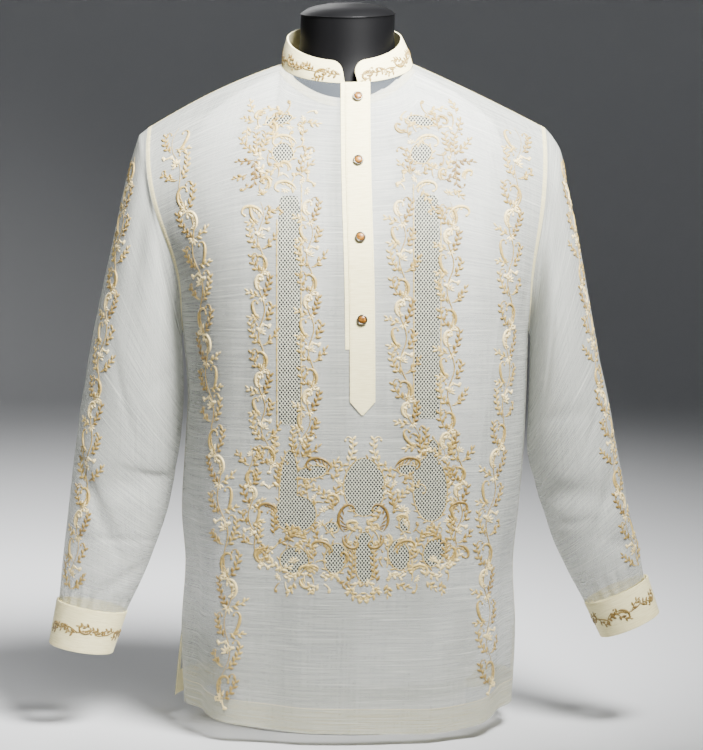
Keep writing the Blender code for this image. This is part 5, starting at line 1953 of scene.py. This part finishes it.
def make_leaves(name, leaves, finish, segments=6, rings=4):
    places, *values = zip(*leaves)
    mesh = bpy.data.meshes.new(name + "_roots")
    mesh.from_pydata(places, [], [])
    for attribute, column in zip(("way", "up", "size", "tone"), values):
        store(mesh, attribute, column)
    return run_tree(name, mesh, made_once("leaf tree", leaf_tree), finish,
                    Segments=segments, Rings=rings)


def make_cords(name, lines, finish, rise=0.0001, sides=6):
    points, edges, ups, halves, tones = [], [], [], [], []
    for spots, widths, tone in lines:
        first = len(points)
        points += [spot.point + spot.up * rise for spot in spots]
        edges += [(first + step, first + step + 1) for step in range(len(spots) - 1)]
        ups += [spot.up for spot in spots]
        halves += widths
        tones += [tone] * len(spots)
    mesh = bpy.data.meshes.new(name + "_lines")
    mesh.from_pydata(points, edges, [])
    for attribute, column in (("up", ups), ("half", halves), ("tone", tones)):
        store(mesh, attribute, column)
    return run_tree(name, mesh, made_once("cord tree", cord_tree), finish, Sides=sides)


def stitch(name, work):
    """Turns collected needlework into two pieces and gives them to the shirt."""
    for piece in (make_leaves(name + "_leaves", work.leaves, "satin-stitched thread"),
                  make_cords(name + "_lines", work.lines, "satin-stitched thread")):
        dress(piece, None)


class BARONG_OT_edge_stitching(bpy.types.Operator):
    """Sews the running stitches along the hems, seams, collar, cuffs and placket"""
    bl_idname = "barong.edge_stitching"
    bl_label = "Edge stitching"
    INSET = 0.7                  # grid cells between an edge and its stitching

    def execute(self, context):
        work = Needlework(context.scene.barong_stitch.seed + 7)
        lines = list(MADE["seam lines"])
        # these lines stop three or four cells short of a piece's ends
        for name in ("collar", "cuff_left", "cuff_right", "placket"):
            ground = Ground(*MADE[name])
            rows, columns = len(ground.grid), len(ground.grid[0])
            if name == "placket":
                for column in (self.INSET, columns - 1 - self.INSET):
                    lines.append([ground.at(row, column) for row in range(4, rows - 3)])
            else:
                for row in (self.INSET, rows - 1 - self.INSET):
                    lines.append([ground.at(row, column) for column in range(4, columns - 4)])
        for grid, ways in panels().values():
            row = hem_row(grid)
            lines.append([Spot(*pair) for pair in zip(grid[row], ways[row])][3:-3])
        for spots in lines:
            running_stitch(work, spots, IVORY)
        dress(make_leaves("edge_stitching", work.leaves, "satin-stitched thread",
                          segments=4, rings=3), None)
        return {"FINISHED"}


# ---------------------------------------------------------------- where the embroidery goes
# Vines as (x, height above the hem) from their feet up
OUTER_VINES = {
    "left": [(-0.145, 0.021), (-0.139, 0.091), (-0.138, 0.173), (-0.146, 0.255), (-0.156, 0.335),
             (-0.165, 0.426), (-0.172, 0.519), (-0.188, 0.600), (-0.203, 0.652),
             (-0.197, 0.685)],
    "right": [(0.168, 0.033), (0.164, 0.125), (0.164, 0.207), (0.173, 0.289), (0.185, 0.369),
              (0.189, 0.449), (0.189, 0.530), (0.193, 0.600), (0.202, 0.650), (0.197, 0.685)],
}
INNER_VINES = [
    [(-0.0880, 0.296), (-0.0960, 0.345), (-0.0980, 0.400), (-0.0975, 0.450), (-0.0975, 0.520),
     (-0.0990, 0.598)],
    [(-0.0540, 0.306), (-0.0440, 0.352), (-0.0405, 0.400), (-0.0410, 0.450), (-0.0420, 0.520),
     (-0.0420, 0.602)],
    [(0.0840, 0.316), (0.0710, 0.360), (0.0650, 0.400), (0.0645, 0.450), (0.0640, 0.520),
     (0.0630, 0.602)],
    [(0.1140, 0.306), (0.1180, 0.350), (0.1200, 0.400), (0.1190, 0.450), (0.1185, 0.520),
     (0.1190, 0.598)],
]
PANEL_VINES = [
    [(-0.0960, 0.182), (-0.1090, 0.210), (-0.1110, 0.255), (-0.1110, 0.318)],
    [(0.1160, 0.182), (0.1290, 0.210), (0.1310, 0.255), (0.1310, 0.322)],
]
Border = namedtuple("Border", "x low high")
BORDERS = [Border(-0.0800, 0.340, 0.578), Border(-0.0520, 0.344, 0.618),
           Border(0.0765, 0.346, 0.618), Border(0.1078, 0.350, 0.578)]
CLUSTER_AXES = {-1: -0.0716, 1: 0.0920}
PANEL_AXIS = 0.0190

# The clusters above the strips and the panel below them: along is metres away from the middle,
# across is the height above the hem; heading 0 points away from the middle and 90 up
CLUSTER = rows_of(Motif, [
    ("comb", -0.0135, 0.665, 66, 0.0125, -185, IVORY),
    ("frond", -0.0170, 0.630, 97, 0.042, 24, STRAW + 0.1),
    ("frond", -0.0180, 0.630, 140, 0.019, -10, STRAW),
    ("horns", -0.0250, 0.622, 150, 0.0085, 0, IVORY),
    ("comb", -0.0137, 0.612, 70, 0.0110, -195, IVORY),
    ("frond", 0.0330, 0.650, 95, 0.036, -16, STRAW),
    ("frond", 0.0350, 0.655, 32, 0.022, 20, STRAW),
    ("frond", 0.0360, 0.646, -10, 0.018, 10, TAN),
    ("frond", 0.0350, 0.648, -98, 0.042, 22, TAN),
    ("frond", 0.0300, 0.652, 122, 0.036, -36, STRAW),
    ("blossom", 0.0075, 0.6375, 62, 0.0062, 0, IVORY),
    ("blossom", 0.0250, 0.6070, 70, 0.0060, 0, IVORY),
    ("frond", 0.0200, 0.6230, 18, 0.016, 10, TAN),
    ("scroll", 0.0080, 0.6260, 120, 0.022, -240, STRAW),
    ("comb", 0.0245, 0.582, 75, 0.0110, -195, IVORY),
    ("frond", 0.0210, 0.585, 150, 0.024, 40, STRAW),
    ("frond", 0.0140, 0.680, 84, 0.030, 60, STRAW + 0.1),
    ("scroll", 0.0300, 0.684, 62, 0.026, 220, STRAW),
    ("frond", 0.0020, 0.702, 30, 0.020, -30, IVORY + 0.1),
    ("scroll", 0.0020, 0.700, 150, 0.024, -230, STRAW),
    ("frond", -0.0200, 0.672, 110, 0.024, -50, STRAW),
    ("scroll", 0.0180, 0.655, -60, 0.022, -220, STRAW + 0.1),
])
PANEL = rows_of(Motif, [
    ("frond", 0.0180, 0.299, 124, 0.040, -60, IVORY + 0.14),
    ("frond", 0.0350, 0.278, 106, 0.034, 44, STRAW + 0.1),
    ("comb", 0.0360, 0.293, 72, 0.0130, -195, BROWN - 0.04),
    ("frond", 0.0333, 0.2444, 68, 0.060, -62, STRAW + 0.08),
    ("frond", 0.0350, 0.2440, 94, 0.038, 14, TAN),
    ("comb", 0.0220, 0.2195, 40, 0.0140, 200, BROWN),
    ("frond", 0.0220, 0.2200, 148, 0.025, 34, STRAW),
    ("scroll", 0.0030, 0.2260, -12, 0.036, -290, STRAW),
    ("frond", 0.0160, 0.160, 104, 0.048, -20, TAN),
    ("comb", 0.0235, 0.215, -78, 0.0085, -220, TAN + 0.1),
    ("scroll", 0.0600, 0.2230, -64, 0.022, 240, TAN),
    ("blossom", 0.0450, 0.2440, 66, 0.0060, 0, IVORY),
    ("blossom", 0.0480, 0.2280, 30, 0.0056, 0, IVORY),
    ("horns", 0.0330, 0.2600, 96, 0.0080, 0, IVORY),
    ("blossom", 0.0285, 0.2760, 130, 0.0056, 0, IVORY),
    ("frond", 0.0573, 0.184, 94, 0.054, -84, STRAW + 0.12),
    ("frond", 0.1000, 0.204, 162, 0.032, -36, TAN),
    ("frond", 0.0180, 0.1580, -98, 0.038, -110, STRAW),
    ("frond", 0.0280, 0.1740, -42, 0.026, 50, IVORY + 0.06),
    ("comb", 0.0540, 0.1740, 62, 0.0088, -195, STRAW),
    ("frond", 0.0740, 0.1760, -75, 0.026, 92, IVORY + 0.06),
    ("frond", 0.0930, 0.1760, 8, 0.036, 84, IVORY + 0.14),
    ("comb", 0.1090, 0.2000, 14, 0.0080, -195, TAN),
    ("frond", 0.1030, 0.2140, 96, 0.036, -14, TAN),
    ("comb", 0.0990, 0.2420, 74, 0.0095, -200, BROWN - 0.08),
    ("horns", 0.1085, 0.2680, 92, 0.0085, 0, IVORY),
    ("frond", 0.1000, 0.2680, 92, 0.042, 14, TAN),
    ("frond", 0.1040, 0.3040, 106, 0.038, -34, STRAW),
    ("scroll", 0.1100, 0.3060, 92, 0.028, 235, STRAW),
    ("frond", 0.0680, 0.3040, 96, 0.038, 16, TAN),
    ("frond", 0.0640, 0.2100, 56, 0.038, -64, STRAW + 0.1),
    ("frond", 0.0620, 0.1900, 94, 0.040, 86, IVORY + 0.12),
    ("comb", 0.0350, 0.1960, 82, 0.0110, -200, TAN),
    ("frond", 0.0860, 0.2060, 100, 0.026, 30, TAN),
    ("blossom", 0.0800, 0.1840, 80, 0.0060, 0, IVORY),
    ("scroll", 0.0420, 0.1680, 160, 0.022, 230, STRAW),
    ("frond", 0.0040, 0.1660, -70, 0.020, 40, IVORY + 0.1),
])


def front_spots(ground, places):
    return [ground.before(x, height) for x, height in places]


class SeenFrame(Frame):
    """The front as seen: metres away from an axis on one side of it, and height."""

    def __init__(self, ground, axis, side):
        self.ground, self.axis, self.side = ground, axis, side

    def spot(self, place):
        return self.ground.before(self.axis + self.side * place.real, place.imag)

    def way(self, heading):
        return Vector((self.side * heading.real, 0, heading.imag))


Area = namedtuple("Area", "low high spacing size")     # low and high: corners (away, height)
CLUSTER_AREA = Area((-0.024, 0.612), (0.044, 0.708), 0.0060, 0.0088)
PANEL_AREA = Area((0.004, 0.160), (0.100, 0.298), 0.0058, 0.0086)
FILLER_WAYS = (-75, -30, 30, 60, 100, 140, 200)
FILLERS = (("frond", 1.7, 20), ("frond", 1.5, -20), ("scroll", 2.0, 220),
           ("scroll", 2.0, -220), ("comb", 0.7, -195), ("blossom", 0.55, 0))
FILLER_TONES = (IVORY + 0.1, STRAW, STRAW + 0.1, TAN)
SCATTER = 0.25               # of the fillers, as a share of their spacing
CLEAR_OF_HOLE = 0.002        # how far into the openwork a filler may reach


def fill_side(work, frame, motifs, area, tone_shift=0.0):
    """A table's motifs on one side of an axis, and small ones where nothing is stitched yet."""
    for motif in motifs:
        draw_motif(work, frame, motif, tone_shift=tone_shift)
    chance, (low, high, spacing, size) = work.chance, area
    height = low[1]
    while height < high[1]:
        away = low[0]
        while away < high[0]:
            place = complex(away + chance.uniform(-SCATTER, SCATTER) * spacing,
                            height + chance.uniform(-SCATTER, SCATTER) * spacing)
            away += spacing
            way = turn_by(chance.choice(FILLER_WAYS))
            reach = [frame.spot(place + way * size * share) for share in (0.0, 0.5, 1.0)]
            reach.append(frame.spot(place + way * turn_by(50) * size * 0.6))
            if any(not work.is_free(spot.point) or openwork_depth(spot.point) > CLEAR_OF_HOLE
                   for spot in reach):
                continue
            kind, share, bend = chance.choice(FILLERS)
            tone = IVORY if kind == "blossom" else chance.choice(FILLER_TONES)
            MOTIFS[kind](work, frame, place, way, size * share, bend, tone)
        height += spacing


NET_SLOPES = (52, -52)       # degrees
NET_STEP = 0.0024            # between the places of a net's thread
NET_OVER = 0.0008            # how far the net reaches over the edge of the cloth


def net_runs(ground, patches, pitch, slope):
    """Threads in one slanting direction through patches that touch, cut off at their edges."""
    along = Vector((math.cos(math.radians(slope)), math.sin(math.radians(slope))))
    across = Vector((-along.y, along.x))
    middles = [Vector((patch.x, patch.height)) for patch in patches]
    middle = sum(middles, Vector((0, 0))) / len(patches)
    reach = max((place - middle).length + math.hypot(patch.half_width, patch.half_height)
                for place, patch in zip(middles, patches)) + NET_OVER
    first = math.ceil((middle.dot(across) - reach) / pitch)
    last = math.floor((middle.dot(across) + reach) / pitch)
    runs = []
    for line in range(first, last + 1):
        run = []
        count = int(2 * reach / NET_STEP)
        for part in range(count + 1):
            place = (across * line * pitch
                     + along * (middle.dot(along) - reach + part * NET_STEP))
            inside = any(patch_depth(patch, place.x, place.y) > -NET_OVER
                         for patch in patches)
            if inside:
                run.append(ground.before(place.x, place.y))
            if run and (not inside or part == count):
                if len(run) > 1:
                    runs.append(run)
                run = []
    return runs


class BARONG_OT_openwork(bpy.types.Operator):
    """Makes the whipped net that fills the front's openwork"""
    bl_idname = "barong.openwork"
    bl_label = "Openwork"

    def execute(self, context):
        looks = context.scene.barong_stitch
        ground = front_ground()
        groups = [[patch] for patch in PATCHES[:PANEL_PATCHES]] + [PATCHES[PANEL_PATCHES:]]
        lines = [(run, [looks.net_thread] * len(run), 0.0)
                 for slope in NET_SLOPES for group in groups
                 for run in net_runs(ground, group, looks.net_pitch, slope)]
        dress(make_cords("openwork_net", lines, "whipped cotton net", rise=-0.0001, sides=4),
              None)
        return {"FINISHED"}


def front_ground():
    return made_once("front ground", lambda: Ground(*panels()["front"]))


OUTER_PITCH, INNER_PITCH, PANEL_PITCH, SLEEVE_PITCH = 0.036, 0.0285, 0.0250, 0.032
BORDER_SPOTS = 12
CLUSTER_TONE = 0.24          # how much darker the clusters are than their table says


class BARONG_OT_front_embroidery(bpy.types.Operator):
    """Embroiders the front: tall vines, the openwork's borders and the panel below them"""
    bl_idname = "barong.front_embroidery"
    bl_label = "Embroidery of the front"

    def execute(self, context):
        ground = front_ground()
        seed = context.scene.barong_stitch.seed
        vines = Needlework(seed)
        for side, path in ((1, OUTER_VINES["left"]), (-1, OUTER_VINES["right"])):
            vine(vines, ground, front_spots(ground, path), OUTER_PITCH, side=side)
        stitch("outer_vines", vines)
        columns = Needlework(seed + 1)
        for number, path in enumerate(INNER_VINES):
            vine(columns, ground, front_spots(ground, path), INNER_PITCH,
                 side=1 if number % 2 else -1, first_step=number)
        for border in BORDERS:
            places = [(border.x, mix(border.low, border.high, step / BORDER_SPOTS))
                      for step in range(BORDER_SPOTS + 1)]
            stitched_border(columns, ground, front_spots(ground, places), STRAW)
        for patch in PATCHES[STRIPS:PANEL_PATCHES]:
            wreath(columns, ground, patch, STRAW)
        for side, axis in CLUSTER_AXES.items():
            fill_side(columns, SeenFrame(ground, axis, side), CLUSTER, CLUSTER_AREA,
                      CLUSTER_TONE)
        stitch("inner_vines", columns)
        panel = Needlework(seed + 2)
        for number, path in enumerate(PANEL_VINES):
            vine(panel, ground, front_spots(ground, path), PANEL_PITCH,
                 side=-1 if number else 1)
        for patch in PATCHES[PANEL_PATCHES:]:
            wreath(panel, ground, patch, STRAW + 0.1)
        for side in (-1, 1):
            fill_side(panel, SeenFrame(ground, PANEL_AXIS, side), PANEL, PANEL_AREA)
        stitch("front_panel", panel)
        return {"FINISHED"}


class BARONG_OT_sleeve_embroidery(bpy.types.Operator):
    """Embroiders a vine down each sleeve and a small one round each cuff and the collar"""
    bl_idname = "barong.sleeve_embroidery"
    bl_label = "Embroidery of sleeves, cuffs and collar"
    ANGLES = {"left": (66, 40), "right": (66, 55)}       # degrees round the sleeve, top and foot
    TURN_LATE = 2.6              # how late up the sleeve a vine leaves its foot's angle
    SHARES = (0.965, 0.03)       # of the sleeve's length from its top: the vine's foot and top
    SPOTS = 12                   # on a sleeve's path
    WAVE_SPOTS = 120             # and on a band's
    WAVE_HEIGHT = 0.06           # of a band's vine, as a share of the band's height
    BAND_SCALE, BAND_TONE = 0.8, 0.14
    # the bands' names, the columns left free at both ends, and the vines' height on them
    BANDS = (("cuff_left", (8, 20), 0.5), ("cuff_right", (8, 20), 0.5),
             ("collar", (4, 4), 0.40))

    def execute(self, context):
        seed = context.scene.barong_stitch.seed
        for side in ("left", "right"):
            ground = Ground(*MADE["sleeve_" + side], wrap=True)
            top, foot = self.ANGLES[side]
            spots = []
            for step in range(self.SPOTS + 1):
                share = mix(*self.SHARES, step / self.SPOTS)
                angle = mix(foot, top, (step / self.SPOTS) ** self.TURN_LATE)
                spots.append(ground.at(SEAM_RINGS + share * SLEEVE_STEPS,
                                       (angle + 90) / 180 * HIGH_STEPS))
            work = Needlework(seed + 3)
            vine(work, ground, spots, SLEEVE_PITCH, side=1 if side == "left" else -1,
                 first_step=1)
            stitch("sleeve_%s_vine" % side, work)
        for name, (start, end), up in self.BANDS:
            grid, ways = MADE[name]
            ground = Ground(grid, ways)
            rows, columns = len(grid), len(grid[0])
            waves = round(pace(grid[0])[-1] / BAND_WAVE)
            spots = []
            for step in range(self.WAVE_SPOTS + 1):
                swing = math.sin(waves * step / self.WAVE_SPOTS * 2 * math.pi)
                spots.append(ground.at((rows - 1) * (up + self.WAVE_HEIGHT * swing),
                                       mix(start, columns - 1 - end,
                                           step / self.WAVE_SPOTS)))
            work = Needlework(seed + 5, scale=self.BAND_SCALE)
            vine(work, ground, spots, BAND_WAVE / 2, steps=BAND_STEPS,
                 tone_shift=self.BAND_TONE, bow=0.0)
            stitch(name + "_vine", work)
        return {"FINISHED"}


# ---------------------------------------------------------------- floor, lights and camera
KEY_SPREAD = 68              # degrees; a grid on the lamp keeps its light off the floor
CAMERA_PLACE = (0.0054, -3.0, 0.630)
CAMERA_DOWN = 4.0            # degrees below level
CAMERA_LENS = 120.0
SENSOR = 36.0
FIRST_RING = 0.1             # radius of the ring round the floor's middle point
FLOOR_RADIUS = 5.0
WALL_CURVE = 2.0
WALL_HEIGHT = 7.0
BOWL_SIDES = 96
CURVE_ANGLES = range(9, 91, 9)       # degrees, from the floor up into the wall
WORLD_COLOUR, WORLD_STRENGTH = "#e6e9ee", 0.15
RIM_POWER = 30.0
Lamp = namedtuple("Lamp", "place aim size")
KEY_LAMP = Lamp((0.6, -0.98, 1.95), (0, 0, 1.10), 0.8)
FILL_LAMP = Lamp((-2.4, -1.7, 1.2), (0, 0, 0.45), 1.8)
RIM_LAMP = Lamp((-0.6, 2.3, 2.4), (0, 0, 0.5), 1.4)


def add_area_light(name, lamp_here, power, spread=180):
    place, aim, size = lamp_here
    light = bpy.data.lights.new(name, "AREA")
    light.shape = "DISK"
    light.size = size
    light.energy = power
    light.spread = math.radians(spread)
    lamp = bpy.data.objects.new(name, light)
    lamp.location = place
    lamp.rotation_euler = (Vector(aim) - Vector(place)).to_track_quat("-Z", "Y").to_euler()
    bpy.context.scene.collection.objects.link(lamp)


class BARONG_OT_stage(bpy.types.Operator):
    """Makes the floor that curves up into a wall all round, the studio lights and the camera"""
    bl_idname = "barong.stage"
    bl_label = "Stage"

    def execute(self, context):
        looks = context.scene.barong_stage
        profile = [(FIRST_RING, 0.0), (FLOOR_RADIUS, 0.0)]
        profile += [(FLOOR_RADIUS + WALL_CURVE * math.sin(math.radians(angle)),
                     WALL_CURVE * (1 - math.cos(math.radians(angle))))
                    for angle in CURVE_ANGLES]
        profile.append((FLOOR_RADIUS + WALL_CURVE, WALL_HEIGHT))
        sides = BOWL_SIDES
        points = [(0, 0, 0)] + [(radius * math.cos(2 * math.pi * c / sides),
                                 radius * math.sin(2 * math.pi * c / sides), height)
                                for radius, height in profile for c in range(sides)]
        faces = [(0, 1 + c, 1 + (c + 1) % sides) for c in range(sides)]
        for ring in range(len(profile) - 1):
            for c in range(sides):
                after = (c + 1) % sides
                low, high = 1 + ring * sides, 1 + (ring + 1) * sides
                faces.append((low + c, high + c, high + after, low + after))
        mesh = bpy.data.meshes.new("studio_bowl")
        mesh.from_pydata(points, [], faces)
        mesh.shade_smooth()
        link("studio_bowl", mesh, "matt studio paint")
        add_area_light("main_light", KEY_LAMP, looks.key, spread=KEY_SPREAD)
        add_area_light("second_light", FILL_LAMP, looks.fill)
        add_area_light("rim_light", RIM_LAMP, RIM_POWER)
        world = bpy.data.worlds.new("studio")
        world.use_nodes = True
        sky = world.node_tree.nodes["Background"]
        sky.inputs["Color"].default_value = linear(WORLD_COLOUR)
        sky.inputs["Strength"].default_value = WORLD_STRENGTH
        context.scene.world = world
        camera = bpy.data.cameras.new("camera")
        camera.lens = CAMERA_LENS
        camera.sensor_width = SENSOR
        camera.clip_end = 60.0
        eye = bpy.data.objects.new("camera", camera)
        eye.location = CAMERA_PLACE
        eye.rotation_euler = (math.radians(90 - CAMERA_DOWN), 0, 0)
        context.scene.collection.objects.link(eye)
        context.scene.camera = eye
        return {"FINISHED"}


# ---------------------------------------------------------------- the add-on's panel
OPERATORS = (
    BARONG_OT_stage, BARONG_OT_form, BARONG_OT_panels, BARONG_OT_sleeves, BARONG_OT_cuffs,
    BARONG_OT_collar, BARONG_OT_placket, BARONG_OT_seams, BARONG_OT_buttons,
    BARONG_OT_edge_stitching, BARONG_OT_openwork, BARONG_OT_front_embroidery,
    BARONG_OT_sleeve_embroidery,
)


class BARONG_PT_sidebar(bpy.types.Panel):
    """Lists the steps that make the dressed form"""
    bl_idname = "BARONG_PT_sidebar"
    bl_label = "Barong tagalog"
    bl_space_type = "VIEW_3D"
    bl_region_type = "UI"
    bl_category = "Barong"

    def draw(self, context):
        for group in GROUPS:
            box = self.layout.box()
            for name in group.__annotations__:
                box.prop(getattr(context.scene, GROUPS[group]), name)
        for step in OPERATORS:
            self.layout.operator(step.bl_idname)


GROUPS = {ClothLooks: "barong_cloth", StitchLooks: "barong_stitch", FormLooks: "barong_form",
          StageLooks: "barong_stage"}


def register():
    for group, place in GROUPS.items():
        bpy.utils.register_class(group)
        setattr(bpy.types.Scene, place, PointerProperty(type=group))
    for made in OPERATORS + (BARONG_PT_sidebar,):
        bpy.utils.register_class(made)


def unregister():
    for made in (BARONG_PT_sidebar,) + OPERATORS[::-1]:
        bpy.utils.unregister_class(made)
    for group, place in GROUPS.items():
        delattr(bpy.types.Scene, place)
        bpy.utils.unregister_class(group)


def main():
    register()
    for step in OPERATORS:
        family, name = step.bl_idname.split(".")
        result = getattr(getattr(bpy.ops, family), name)()
        if result != {"FINISHED"}:
            raise RuntimeError("%s didn't finish" % step.bl_label)


if __name__ == "__main__":
    main()
